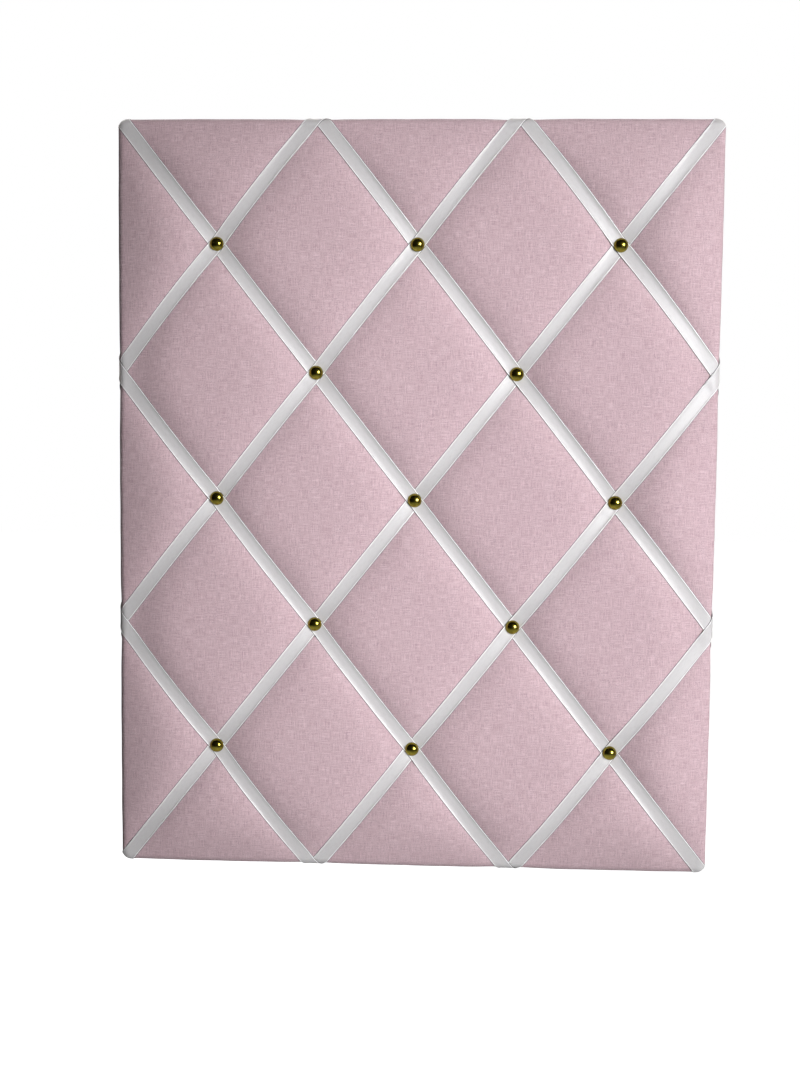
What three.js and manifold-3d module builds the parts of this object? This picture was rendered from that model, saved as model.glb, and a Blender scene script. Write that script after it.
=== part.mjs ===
// French memo board: a padded, cloth-covered fibreboard with a lattice of satin ribbons, a domed tack
// at every crossing, a pinned back panel and two D-ring hangers.
// Millimetres, +Z up, the front faces -Y, and the origin is the middle of the back panel's outer face.

import * as THREE from 'three';
import { mergeVertices } from 'three/addons/utils/BufferGeometryUtils.js';
import Module from 'manifold-3d';

const wasm = await Module();
wasm.setup();

// Core, padding and cloth
const CORE_WIDTH = 397;
const CORE_HEIGHT = 500;
const CORE_THICKNESS = 9;
const CORE_CORNER = 4;
const CLEARANCE = 0.3;
const WADDING_RIM = 2.8;
const CLOTH_THICKNESS = 0.6;
const CLOTH_CORNER = 6.5;
const FRONT_EDGE_RADIUS = 5.5;
const BACK_EDGE_RADIUS = 2;
const HEM_WIDTH = 18;

// Crown of the padding: the rise under a ribbon midway between tacks, the further rise in a diamond,
// how fast each one climbs away from what holds the cloth down, and the share of a lattice step
// where a facet line parts the steep dimple round a tack from the flatter middle
const RIBBON_CROWN = 4.4;
const DIAMOND_CROWN = 2.6;
const TACK_DIMPLE_POWER = 4;
const DIAMOND_POWER = 2;
const RIM_FALL = 34;
const RIM_FLAT = 1;
const MOUND_ROOT = 1.5;
const DIMPLE_BREAK = 0.2;

// Ribbon lattice: intervals along each side, and how far past the front outline two ribbons meet
const LATTICE_STEPS = 6;
const MEET_PAST_SIDE = 0.3;
const MEET_PAST_TOP = 2.8;
const RIBBON_WIDTH = 9.8;
const RIBBON_THICKNESS = 0.4;
const RIBBON_PAST_HEM = 11;
const CORNER_RIBBON_TAIL = 36;
const EDGE_LIFT_FULL = 18;
const EDGE_LIFT_END = 28;

// Tacks
const TACK_HEAD_DIAMETER = 9.6;
const TACK_HEAD_HEIGHT = 3.6;
const TACK_HEAD_WALL = 0.7;
const TACK_SHANK_DIAMETER = 1.6;
const TACK_LENGTH = 12;
const TACK_POINT = 2.4;

// Staples over the ribbon ends
const STAPLE_WIRE = 0.5;
const STAPLE_DEPTH = 5;
const STAPLE_PAST_HEM = 6;
const CORNER_STAPLE = 30;

// Back panel and its pins
const PANEL_THICKNESS = 2;
const PANEL_INSET = 14;
const PANEL_MIDDLE_WIDTH = 120;
const PANEL_MIDDLE_HEIGHT = 100;
const PIN_DIAMETER = 1.4;
const PIN_HEAD_DIAMETER = 3.4;
const PIN_HEAD_HEIGHT = 0.8;
const PIN_DEPTH = 6;
const PIN_EDGE = 8;
const PIN_SIDE_INSET = 58.5;

// D-ring hangers
const HANGER_DROP = 167;
const HANGER_INSET = 64.5;
const STRAP_THICKNESS = 0.8;
const STRAP_WIDTH = 11;
const STRAP_LENGTH = 18;
const STRAP_SLIT = 0.3;
const RING_WIRE = 2.4;
const RING_BAR = 12;
const RING_BEND = 3;
const SCREW_SETBACK = 12;
const SCREW_DIAMETER = 3.2;
const SCREW_HEAD_DIAMETER = 6.4;
const SCREW_HEAD_HEIGHT = 2;
const SCREW_DEPTH = 6;
const SCREW_RECESS = 0.8;

// Tolerances of the meshes
const MERGE_DISTANCE = 1e-4;
const ON_LINE = 1e-7;

// Facet counts
const CORNER_STEPS = 4;
const EDGE_STEPS = 3;
const BACK_STEPS = 2;
const HOLE_SIDES = 6;
const TACK_SIDES = 12;
const DOME_STEPS = 4;
const FASTENER_SIDES = 10;
const RING_STEPS = 28;
const RING_SIDES = 8;
const LOOP_STEPS = 10;
const CORNER_COLUMNS = 4;

// Depths, from the wall forwards
const panelFront = -PANEL_THICKNESS;
const stapleFront = panelFront - CLEARANCE - STAPLE_WIRE;
const ribbonBack = stapleFront - CLEARANCE;
const hemBack = ribbonBack - RIBBON_THICKNESS - CLEARANCE;
const coreBack = hemBack - CLOTH_THICKNESS - CLEARANCE;
const coreFront = coreBack - CORE_THICKNESS;
const waddingInset = CLOTH_THICKNESS + CLEARANCE;
const paddingDepth = waddingInset + WADDING_RIM + CLEARANCE;
const clothFront = coreFront - paddingDepth;

// Finished outline and lattice
const halfWidth = CORE_WIDTH / 2 + paddingDepth;
const halfHeight = CORE_HEIGHT / 2 + paddingDepth;
const halfSteps = LATTICE_STEPS / 2;
const pitchX = (halfWidth + MEET_PAST_SIDE) / halfSteps;
const pitchZ = (halfHeight + MEET_PAST_TOP) / halfSteps;
const latticeStep = Math.hypot(pitchX, pitchZ);
const halfRibbon = RIBBON_WIDTH / 2;
const bandHalf = halfRibbon * latticeStep / (2 * pitchX * pitchZ);
const laneHeight = RIBBON_THICKNESS + CLEARANCE;
const moundX = halfWidth - FRONT_EDGE_RADIUS - RIM_FLAT;
const moundZ = halfHeight - FRONT_EDGE_RADIUS - RIM_FLAT;

const materials = {
  cloth: { color: 0xc2a0a7, roughness: 0.95, metalness: 0 },
  ribbon: { color: 0xf1eeee, roughness: 0.45, metalness: 0 },
  brass: { color: 0xb08a4a, roughness: 0.25, metalness: 1 },
  wadding: { color: 0xf4f2ee, roughness: 1, metalness: 0 },
  board: { color: 0xa98a63, roughness: 0.9, metalness: 0 },
  steel: { color: 0xb9bcc0, roughness: 0.35, metalness: 1 },
};

const board = new THREE.Group();

function addPiece(parent, name, geometry, finish) {
  const mesh = new THREE.Mesh(geometry, new THREE.MeshStandardMaterial(materials[finish]));
  mesh.name = name;
  parent.add(mesh);
  return mesh;
}

// Closed meshes and booleans

function closedGeometry(points, triangles) {
  let volume = 0;
  const edge = new THREE.Vector3();
  for (const [i, j, k] of triangles) {
    volume += points[i].dot(edge.crossVectors(points[j], points[k]));
  }
  const facing = volume > 0 ? triangles : triangles.map(([i, j, k]) => [i, k, j]);
  const geometry = new THREE.BufferGeometry();
  geometry.setAttribute('position', new THREE.Float32BufferAttribute(points.flatMap((p) => p.toArray()), 3));
  geometry.setIndex(facing.flat());
  return geometry;
}

function toSolid(geometry) {
  const bare = geometry.clone();
  bare.deleteAttribute('normal');
  bare.deleteAttribute('uv');
  const merged = mergeVertices(bare, MERGE_DISTANCE);
  const vertProperties = new Float32Array(merged.attributes.position.array);
  const triVerts = new Uint32Array(merged.index.array);
  return new wasm.Manifold(new wasm.Mesh({ numProp: 3, vertProperties, triVerts }));
}

function fromSolid(solid) {
  const mesh = solid.getMesh();
  const geometry = new THREE.BufferGeometry();
  geometry.setAttribute('position', new THREE.BufferAttribute(new Float32Array(mesh.vertProperties), 3));
  geometry.setIndex(new THREE.BufferAttribute(new Uint32Array(mesh.triVerts), 1));
  return geometry;
}

function cut(geometry, cutters) {
  let solid = toSolid(geometry);
  for (const cutter of cutters) {
    solid = solid.subtract(toSolid(cutter));
  }
  return fromSolid(solid);
}

function join(first, second) {
  return fromSolid(toSolid(first).add(toSolid(second)));
}

// A round bar along Y, used for shanks and for the holes they pass through
function barAlongDepth(x, z, front, back, radius, sides) {
  return new THREE.CylinderGeometry(radius, radius, back - front, sides).translate(x, (front + back) / 2, z);
}

function boxBetween(low, high) {
  const size = new THREE.Vector3().subVectors(high, low);
  const middle = new THREE.Vector3().addVectors(low, high).multiplyScalar(0.5);
  return new THREE.BoxGeometry(size.x, size.y, size.z).translate(middle.x, middle.y, middle.z);
}

// A rounded rectangle in X and Z, anticlockwise
function roundedOutline(halfX, halfZ, radius) {
  const corners = [[1, 1], [-1, 1], [-1, -1], [1, -1]];
  return corners.flatMap(([signX, signZ], corner) =>
    Array.from({ length: CORNER_STEPS + 1 }, (_, step) => {
      const angle = (corner + step / CORNER_STEPS) * Math.PI / 2;
      const x = signX * (halfX - radius) + radius * Math.cos(angle);
      const z = signZ * (halfZ - radius) + radius * Math.sin(angle);
      return [x, z];
    }));
}

// A closed body through equal rings, with both ends capped by fans
function loftRings(rings) {
  const count = rings[0].length;
  const points = rings.flat();
  const triangles = [];
  for (let ring = 0; ring + 1 < rings.length; ring += 1) {
    for (let i = 0; i < count; i += 1) {
      const a = ring * count + i;
      const b = ring * count + (i + 1) % count;
      triangles.push([a, b, b + count], [a, b + count, a + count]);
    }
  }
  const last = points.length - count;
  for (let i = 1; i + 1 < count; i += 1) {
    triangles.push([0, i + 1, i], [last, last + i, last + i + 1]);
  }
  return closedGeometry(points, triangles);
}

// The padded board without its crown, drawn in by an inset from the outer face of the cloth.
// With no back radius the back edge is square.
function paddedBody(inset, back, backRadius) {
  const radius = FRONT_EDGE_RADIUS - inset;
  const profile = [];
  for (let step = 0; step <= EDGE_STEPS; step += 1) {
    const angle = step / EDGE_STEPS * Math.PI / 2;
    profile.push([radius * (1 - Math.sin(angle)), clothFront + inset + radius * (1 - Math.cos(angle))]);
  }
  for (let step = 0; step <= BACK_STEPS && backRadius > 0; step += 1) {
    const angle = step / BACK_STEPS * Math.PI / 2;
    profile.push([backRadius * (1 - Math.cos(angle)), back - backRadius * (1 - Math.sin(angle))]);
  }
  if (backRadius === 0) {
    profile.push([0, back]);
  }
  return loftRings(profile.map(([draw, y]) => {
    const size = inset + draw;
    const outline = roundedOutline(halfWidth - size, halfHeight - size, CLOTH_CORNER - size);
    return outline.map(([x, z]) => new THREE.Vector3(x, y, z));
  }));
}

// Lattice coordinates: a is whole along every falling ribbon and b along every rising one,
// so tacks and edge anchors lie where both are whole

function latticeOf(x, z) {
  return { a: (x / pitchX + z / pitchZ) / 2, b: (x / pitchX - z / pitchZ) / 2 };
}

function planOf(a, b) {
  return { x: (a + b) * pitchX, z: (a - b) * pitchZ };
}

// How far, from 0 to 1, a lattice coordinate is from the edge of the nearest ribbon to the diamond's middle
function awayFromRibbon(value) {
  const offset = Math.abs(value - Math.round(value));
  return Math.max(0, offset - bandHalf) / (0.5 - bandHalf);
}

function swell(share, power) {
  return 1 - (1 - share) ** power;
}

function rimShare(distance) {
  return swell(THREE.MathUtils.clamp(distance / RIM_FALL, 0, 1), 2);
}

// Height of the cloth above the level of the rim and the tacks
function crown(x, z) {
  const { a, b } = latticeOf(x, z);
  const alongA = awayFromRibbon(a);
  const alongB = awayFromRibbon(b);
  const steepA = swell(alongA, TACK_DIMPLE_POWER);
  const steepB = swell(alongB, TACK_DIMPLE_POWER);
  const ribbonRise = RIBBON_CROWN * (steepA + steepB - steepA * steepB);
  const diamondRise = DIAMOND_CROWN * swell(alongA, DIAMOND_POWER) * swell(alongB, DIAMOND_POWER);
  return (ribbonRise + diamondRise) * rimShare(moundX - Math.abs(x)) * rimShare(moundZ - Math.abs(z));
}

// Splits one convex outline by the line where side(point) is nothing
function splitOutline(outline, side) {
  const parts = [[], []];
  outline.forEach((point, i) => {
    const next = outline[(i + 1) % outline.length];
    const here = side(point);
    const there = side(next);
    if (here < ON_LINE) {
      parts[0].push(point);
    }
    if (here > -ON_LINE) {
      parts[1].push(point);
    }
    if (Math.abs(here) >= ON_LINE && Math.abs(there) >= ON_LINE && here * there < 0) {
      const share = here / (here - there);
      const crossing = { x: point.x + share * (next.x - point.x), z: point.z + share * (next.z - point.z) };
      parts[0].push(crossing);
      parts[1].push(crossing);
    }
  });
  return parts.filter((part) => part.length > 2);
}

// The crowned face as facets that follow the ribbon edges, on a root that sinks into the padded body
function crownMound(inset) {
  let facets = [[
    { x: -moundX, z: -moundZ },
    { x: moundX, z: -moundZ },
    { x: moundX, z: moundZ },
    { x: -moundX, z: moundZ },
  ]];
  const breaks = [bandHalf, DIMPLE_BREAK, 0.5, 1 - DIMPLE_BREAK, 1 - bandHalf];
  for (const name of ['a', 'b']) {
    for (let whole = -halfSteps; whole < halfSteps; whole += 1) {
      for (const share of breaks) {
        const side = (point) => latticeOf(point.x, point.z)[name] - whole - share;
        facets = facets.flatMap((facet) => splitOutline(facet, side));
      }
    }
  }
  const top = clothFront + inset;
  return sheetOver(facets, (x, z) => top - crown(x, z), top + MOUND_ROOT);
}

// A closed sheet on flat facets: a shaped face in front, a flat face behind and walls round the edge
function sheetOver(facets, frontAt, back) {
  const points = [];
  const triangles = [];
  const numbers = new Map();
  const edges = new Map();
  const numberOf = ({ x, z }) => {
    const key = `${x.toFixed(4)},${z.toFixed(4)}`;
    if (!numbers.has(key)) {
      numbers.set(key, points.length);
      points.push(new THREE.Vector3(x, frontAt(x, z), z), new THREE.Vector3(x, back, z));
    }
    return numbers.get(key);
  };
  for (const facet of facets) {
    const corners = facet.map(numberOf).filter((corner, i, all) => corner !== all[(i + 1) % all.length]);
    for (let i = 1; i + 1 < corners.length; i += 1) {
      triangles.push([corners[0], corners[i + 1], corners[i]]);
      triangles.push([corners[0] + 1, corners[i] + 1, corners[i + 1] + 1]);
    }
    corners.forEach((corner, i) => {
      const next = corners[(i + 1) % corners.length];
      if (!edges.delete(`${next},${corner}`)) {
        edges.set(`${corner},${next}`, [corner, next]);
      }
    });
  }
  for (const [from, to] of edges.values()) {
    triangles.push([from, to, to + 1], [from, to + 1, from + 1]);
  }
  return closedGeometry(points, triangles);
}

// Ribbons in the order in which they were laid, so that each lies over those before it
const ribbonsAsLaid = [
  { kind: 'rise', line: 0 },
  { kind: 'fall', line: 0 },
  { kind: 'fall', line: 1 },
  { kind: 'fall', line: 2 },
  { kind: 'rise', line: -1 },
  { kind: 'rise', line: 1 },
  { kind: 'rise', line: -2 },
  { kind: 'rise', line: 2 },
  { kind: 'fall', line: -1 },
  { kind: 'fall', line: -2 },
];

function layer(kind, line) {
  return ribbonsAsLaid.findIndex((ribbon) => ribbon.kind === kind && ribbon.line === line);
}

function otherKind(kind) {
  return kind === 'rise' ? 'fall' : 'rise';
}

function ribbonPlan(ribbon, along, across) {
  const line = ribbon.line + across;
  return ribbon.kind === 'rise' ? planOf(along, line) : planOf(line, along);
}

function ribbonReach(ribbon) {
  return halfSteps - Math.abs(ribbon.line);
}

// Raise of a ribbon over the ribbons that it crosses, from its place along its line
function laneLift(ribbon, along) {
  const reach = ribbonReach(ribbon);
  const node = THREE.MathUtils.clamp(Math.round(along), -reach, reach);
  const lower = ribbon.line !== 0 || Math.abs(node) < reach;
  if (!lower || layer(ribbon.kind, ribbon.line) < layer(otherKind(ribbon.kind), node)) {
    return 0;
  }
  const atEdge = Math.abs(node) === reach;
  const full = atEdge ? EDGE_LIFT_FULL / latticeStep : bandHalf;
  const end = atEdge ? EDGE_LIFT_END / latticeStep : DIMPLE_BREAK;
  return laneHeight * (1 - THREE.MathUtils.smoothstep(Math.abs(along - node), full + ON_LINE, end));
}

// The way from the front over an edge to the back, as stretches of unfolded length
const edgeArc = FRONT_EDGE_RADIUS * Math.PI / 2;
const wallLength = hemBack - BACK_EDGE_RADIUS - clothFront - FRONT_EDGE_RADIUS;
const backArc = BACK_EDGE_RADIUS * Math.PI / 2;
const backStart = edgeArc + wallLength + backArc;
const hemEnd = backStart + HEM_WIDTH - BACK_EDGE_RADIUS;
const ribbonEnd = hemEnd + RIBBON_PAST_HEM;
const stapleAt = hemEnd + STAPLE_PAST_HEM;

// Place on an edge's profile after a length past the start of the front rounding:
// out is measured from the finished outline, and the normal has an outward and a depth share
function edgeProfile(length) {
  if (length <= edgeArc) {
    const angle = Math.max(0, length) / FRONT_EDGE_RADIUS;
    const out = Math.min(0, length) - FRONT_EDGE_RADIUS * (1 - Math.sin(angle));
    const y = clothFront + FRONT_EDGE_RADIUS * (1 - Math.cos(angle));
    return { out, y, normalOut: Math.sin(angle), normalY: -Math.cos(angle) };
  }
  if (length <= edgeArc + wallLength) {
    return { out: 0, y: clothFront + FRONT_EDGE_RADIUS + length - edgeArc, normalOut: 1, normalY: 0 };
  }
  const angle = Math.min(Math.PI / 2, (length - edgeArc - wallLength) / BACK_EDGE_RADIUS);
  const past = Math.max(0, length - backStart);
  const out = -BACK_EDGE_RADIUS * (1 - Math.cos(angle)) - past;
  const y = hemBack - BACK_EDGE_RADIUS * (1 - Math.sin(angle));
  return { out, y, normalOut: Math.cos(angle), normalY: Math.sin(angle) };
}

function edgeLengths() {
  const shares = (count) => Array.from({ length: count + 1 }, (_, step) => step / count);
  const front = shares(EDGE_STEPS).map((share) => share * edgeArc);
  const back = shares(BACK_STEPS).map((share) => backStart - backArc * (1 - share));
  return [-RIM_FLAT, ...front, ...back];
}

// Rows of a ribbon on the face: two points each, on the lines that the crown's facets use
function faceRows(ribbon) {
  const reach = ribbonReach(ribbon);
  const places = [-reach + DIMPLE_BREAK, -reach + 0.5];
  for (let node = 1 - reach; node < reach; node += 1) {
    places.push(node - DIMPLE_BREAK, node - bandHalf, node + bandHalf, node + DIMPLE_BREAK, node + 0.5);
  }
  places.push(reach - DIMPLE_BREAK);
  return places.map((along) => [-bandHalf, bandHalf].map((across) => {
    const { x, z } = ribbonPlan(ribbon, along, across);
    const base = new THREE.Vector3(x, clothFront - crown(x, z), z);
    return { base, normal: new THREE.Vector3(0, -1, 0), lift: laneLift(ribbon, along) };
  }));
}

// A point of a ribbon that runs over a straight edge, at an unfolded length past the front rounding's start
function overEdge(ribbon, sign, across, length) {
  const reach = ribbonReach(ribbon);
  const node = ribbonPlan(ribbon, sign * reach, 0);
  const overSide = Math.abs(node.x) > (halfSteps - 0.5) * pitchX;
  const half = overSide ? halfWidth : halfHeight;
  const pitch = overSide ? pitchX : pitchZ;
  const outward = Math.sign(overSide ? node.x : node.z);
  const unfolded = outward * (half - FRONT_EDGE_RADIUS + length) / pitch;
  const line = ribbon.line + across;
  const along = overSide ? unfolded - line : ribbon.kind === 'rise' ? unfolded + line : line - unfolded;
  const plan = ribbonPlan(ribbon, along, across);
  const { out, y, normalOut, normalY } = edgeProfile(length);
  const place = outward * (half + out);
  const base = overSide ? new THREE.Vector3(place, y, plan.z) : new THREE.Vector3(plan.x, y, place);
  const level = outward * normalOut;
  const normal = overSide ? new THREE.Vector3(level, normalY, 0) : new THREE.Vector3(0, normalY, level);
  return { base, normal, lift: laneLift(ribbon, along) };
}

function edgeRows(ribbon, sign) {
  return [...edgeLengths(), ribbonEnd].map((length) =>
    [-bandHalf, bandHalf].map((across) => overEdge(ribbon, sign, across, length)));
}

// The frame of a corner: the middle of its rounding, the ribbon's way out and the line across it
function cornerFrame(ribbon, sign) {
  const node = ribbonPlan(ribbon, sign * halfSteps, 0);
  const signs = new THREE.Vector2(Math.sign(node.x), Math.sign(node.z));
  const middle = new THREE.Vector2(halfWidth - CLOTH_CORNER, halfHeight - CLOTH_CORNER).multiply(signs);
  const way = new THREE.Vector2(node.x, node.z).normalize();
  const edge = ribbonPlan(ribbon, sign * halfSteps, bandHalf);
  const across = new THREE.Vector2(edge.x - node.x, edge.z - node.z);
  across.addScaledVector(way, -across.dot(way)).normalize();
  return { middle, way, across, signs, shift: -middle.dot(across) };
}

// How far along its way a line of the ribbon leaves the corner's outline of a given size
function leavesCorner(frame, offset, size, rounded) {
  const start = frame.across.clone().multiplyScalar(offset + frame.shift).multiply(frame.signs);
  const way = frame.way.clone().multiply(frame.signs);
  const straight = Math.min((size - start.x) / way.x, (size - start.y) / way.y);
  const reach = size * size - start.lengthSq();
  if (!rounded || reach < 0) {
    return straight;
  }
  const onArc = Math.sqrt(reach);
  const meets = start.clone().addScaledVector(way, onArc);
  return meets.x > 0 && meets.y > 0 ? onArc : straight;
}

function cornerPoint(frame, offset, distance, y, normalOut, normalY) {
  const plan = frame.across.clone().multiplyScalar(offset + frame.shift).addScaledVector(frame.way, distance);
  const local = plan.clone().multiply(frame.signs);
  const inArc = local.x > 0 && local.y > 0;
  const beside = local.x > local.y ? new THREE.Vector2(1, 0) : new THREE.Vector2(0, 1);
  const level = (inArc ? local.normalize() : beside).multiply(frame.signs).multiplyScalar(normalOut);
  plan.add(frame.middle);
  return {
    base: new THREE.Vector3(plan.x, y, plan.y),
    normal: new THREE.Vector3(level.x, normalY, level.y),
    lift: 0,
  };
}

// Rows of a ribbon that runs over a corner: more points across, because the corner is round
function cornerRows(ribbon, sign) {
  const frame = cornerFrame(ribbon, sign);
  const columns = Array.from({ length: CORNER_COLUMNS + 1 }, (_, column) => column / CORNER_COLUMNS);
  const offsets = columns.map((share) => halfRibbon * (2 * share - 1));
  const rows = edgeLengths().map((length) => {
    const { out, y, normalOut, normalY } = edgeProfile(length);
    const rounded = length >= 0;
    const size = CLOTH_CORNER + out;
    return offsets.map((offset) => {
      const distance = leavesCorner(frame, offset, size, rounded);
      return cornerPoint(frame, offset, distance, y, normalOut, normalY);
    });
  });
  rows.push(offsets.map((offset) => cornerPoint(frame, offset, -CORNER_RIBBON_TAIL, hemBack, 0, 1)));
  return rows;
}

function endRows(ribbon, sign) {
  return ribbon.line === 0 ? cornerRows(ribbon, sign) : edgeRows(ribbon, sign);
}

// Triangles between two rows of points, which may differ in count
function stitch(lower, upper) {
  const triangles = [];
  let i = 0;
  let j = 0;
  while (i + 1 < lower.length || j + 1 < upper.length) {
    const nextLower = (i + 1) / (lower.length - 1);
    const nextUpper = (j + 1) / (upper.length - 1);
    if (j + 1 < upper.length && (i + 1 >= lower.length || nextUpper <= nextLower)) {
      triangles.push([lower[i], upper[j + 1], upper[j]]);
      j += 1;
    } else {
      triangles.push([lower[i], lower[i + 1], upper[j]]);
      i += 1;
    }
  }
  return triangles;
}

// A ribbon with its thickness, through its rows from one end to the other
function ribbonBody(rows) {
  const points = [];
  const under = [];
  const over = [];
  for (const row of rows) {
    for (const [layers, height] of [[under, CLEARANCE], [over, CLEARANCE + RIBBON_THICKNESS]]) {
      layers.push(row.map(({ base, normal, lift }) => {
        points.push(base.clone().addScaledVector(normal, height + lift));
        return points.length - 1;
      }));
    }
  }
  const triangles = [];
  const flipped = (list) => list.map(([i, j, k]) => [i, k, j]);
  for (let row = 0; row + 1 < rows.length; row += 1) {
    triangles.push(...stitch(over[row], over[row + 1]));
    triangles.push(...flipped(stitch(under[row], under[row + 1])));
    triangles.push(...stitch([under[row][0], over[row][0]], [under[row + 1][0], over[row + 1][0]]));
    const right = (layers, at) => layers[at][layers[at].length - 1];
    const near = [over, under].map((layers) => right(layers, row));
    const far = [over, under].map((layers) => right(layers, row + 1));
    triangles.push(...stitch(near, far));
  }
  const end = rows.length - 1;
  triangles.push(...stitch(under[0], over[0]));
  triangles.push(...flipped(stitch(under[end], over[end])));
  return closedGeometry(points, triangles);
}

// Tacks: every whole place of the lattice inside the outline
const tacks = [];
for (let row = halfSteps - 1; row > -halfSteps; row -= 1) {
  for (let column = 1 - halfSteps; column < halfSteps; column += 1) {
    if ((row + column) % 2 === 0) {
      tacks.push({ x: column * pitchX, z: row * pitchZ });
    }
  }
}
const tackSeat = clothFront - 2 * laneHeight - CLEARANCE;
const tackTip = tackSeat + TACK_LENGTH;
const tackHole = TACK_SHANK_DIAMETER / 2 + CLEARANCE;
const tackHoles = tacks.map(({ x, z }) =>
  barAlongDepth(x, z, tackSeat - RIBBON_CROWN, tackTip + CLEARANCE, tackHole, HOLE_SIDES));

// Staple places: the middle of each ribbon end on the back, with the ribbon's way there
function staplePlace(ribbon, sign) {
  if (ribbon.line === 0) {
    const frame = cornerFrame(ribbon, sign);
    const { base } = cornerPoint(frame, 0, -CORNER_STAPLE, hemBack, 0, 1);
    return { x: base.x, z: base.z, angle: Math.atan2(frame.across.y, frame.across.x) };
  }
  const at = overEdge(ribbon, sign, 0, stapleAt).base;
  const before = overEdge(ribbon, sign, 0, hemEnd).base;
  return { x: at.x, z: at.z, angle: Math.atan2(at.z - before.z, at.x - before.x) + Math.PI / 2 };
}
const staples = ribbonsAsLaid.flatMap((ribbon) => [-1, 1].map((sign) => staplePlace(ribbon, sign)));
const stapleLeg = halfRibbon + CLEARANCE + STAPLE_WIRE / 2;
const stapleTip = coreBack - STAPLE_DEPTH;

function placeOnBack(geometry, { x, z, angle }) {
  return geometry.rotateY(-angle).translate(x, 0, z);
}

function stapleSlots(place) {
  const half = STAPLE_WIRE / 2 + CLEARANCE;
  return [-1, 1].map((side) => {
    const low = new THREE.Vector3(side * stapleLeg - half, stapleTip - CLEARANCE, -half);
    const high = new THREE.Vector3(side * stapleLeg + half, coreBack + CLEARANCE, half);
    return placeOnBack(boxBetween(low, high), place);
  });
}

// Pin and screw places on the back panel
const panelHalfX = halfWidth - PANEL_INSET;
const panelHalfZ = halfHeight - PANEL_INSET;
const pins = [
  ...[1, -1].flatMap((up) => [-1, 1].map((side) => ({
    x: side * (panelHalfX - PIN_SIDE_INSET),
    z: up * (panelHalfZ - PIN_EDGE),
  }))),
  ...[-1, 1].map((side) => ({ x: side * (panelHalfX - PIN_EDGE), z: 0 })),
];
const hangerX = halfWidth - HANGER_INSET;
const hangerZ = halfHeight - HANGER_DROP;
const hangers = [
  { name: 'left', side: -1 },
  { name: 'right', side: 1 },
];
const screws = hangers.map(({ side }) => ({ x: side * (hangerX + SCREW_SETBACK), z: hangerZ }));
const pinHole = PIN_DIAMETER / 2 + CLEARANCE;
const screwHole = SCREW_DIAMETER / 2 + CLEARANCE;

function backHoles(places, depth, radius) {
  const front = coreBack - depth - CLEARANCE;
  return places.map(({ x, z }) => barAlongDepth(x, z, front, CLEARANCE, radius, HOLE_SIDES));
}

// Core board
function coreBody(grow, back) {
  const outline = roundedOutline(CORE_WIDTH / 2 + grow, CORE_HEIGHT / 2 + grow, CORE_CORNER + grow);
  return loftRings([coreFront - grow, back].map((y) => outline.map(([x, z]) => new THREE.Vector3(x, y, z))));
}
const coreCuts = [
  ...tackHoles,
  ...staples.flatMap(stapleSlots),
  ...backHoles(pins, PIN_DEPTH, pinHole),
  ...backHoles(screws, SCREW_DEPTH, screwHole),
];
addPiece(board, 'core_board', cut(coreBody(0, coreBack), coreCuts), 'board');

// Wadding: a crowned pad that turns over the sides of the core and stops where the cloth turns to the back
const waddingBack = coreBack - BACK_EDGE_RADIUS;
const waddingOuter = join(paddedBody(waddingInset, waddingBack, 0), crownMound(waddingInset));
const coreSpace = coreBody(CLEARANCE, coreBack + CLEARANCE);
addPiece(board, 'wadding', cut(waddingOuter, [coreSpace, ...tackHoles]), 'wadding');

// Cover cloth: a wrapped tray of even thickness, with its hem turned over the back
const clothOuter = join(paddedBody(0, hemBack, BACK_EDGE_RADIUS), crownMound(0));
const clothBackRadius = BACK_EDGE_RADIUS - CLOTH_THICKNESS;
const clothInner = paddedBody(CLOTH_THICKNESS, hemBack - CLOTH_THICKNESS, clothBackRadius);
const hemOpening = boxBetween(
  new THREE.Vector3(HEM_WIDTH - halfWidth, coreFront, HEM_WIDTH - halfHeight),
  new THREE.Vector3(halfWidth - HEM_WIDTH, hemBack + CLEARANCE, halfHeight - HEM_WIDTH),
);
const clothCuts = [join(clothInner, crownMound(CLOTH_THICKNESS)), hemOpening, ...tackHoles];
addPiece(board, 'cover_cloth', cut(clothOuter, clothCuts), 'cloth');

// Ribbons, numbered from left to right along the top for each way
for (const ribbon of ribbonsAsLaid) {
  const rows = [...endRows(ribbon, -1).reverse(), ...faceRows(ribbon), ...endRows(ribbon, 1)];
  const place = ribbon.line + halfSteps;
  addPiece(board, `ribbon_${ribbon.kind}_${place}`, cut(ribbonBody(rows), tackHoles), 'ribbon');
}

// Tacks: a hollow dome on a pointed shank, turned about its axis
function tackBody() {
  const radius = TACK_HEAD_DIAMETER / 2;
  const shank = TACK_SHANK_DIAMETER / 2;
  const innerRadius = radius - TACK_HEAD_WALL;
  const innerHeight = TACK_HEAD_HEIGHT - TACK_HEAD_WALL;
  const profile = [
    new THREE.Vector2(0, -TACK_LENGTH),
    new THREE.Vector2(shank, TACK_POINT - TACK_LENGTH),
    new THREE.Vector2(shank, innerHeight * Math.sqrt(1 - (shank / innerRadius) ** 2)),
    new THREE.Vector2(innerRadius * Math.cos(Math.PI / 4), innerHeight * Math.sin(Math.PI / 4)),
    new THREE.Vector2(innerRadius, 0),
  ];
  for (let step = 0; step < DOME_STEPS; step += 1) {
    const angle = step / DOME_STEPS * Math.PI / 2;
    profile.push(new THREE.Vector2(radius * Math.cos(angle), TACK_HEAD_HEIGHT * Math.sin(angle)));
  }
  profile.push(new THREE.Vector2(0, TACK_HEAD_HEIGHT));
  return new THREE.LatheGeometry(profile, TACK_SIDES);
}
tacks.forEach(({ x, z }, i) => {
  const tack = addPiece(board, `tack_${String(i + 1).padStart(2, '0')}`, tackBody(), 'brass');
  tack.position.set(x, tackSeat, z);
  tack.rotation.x = Math.PI;
});

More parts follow.
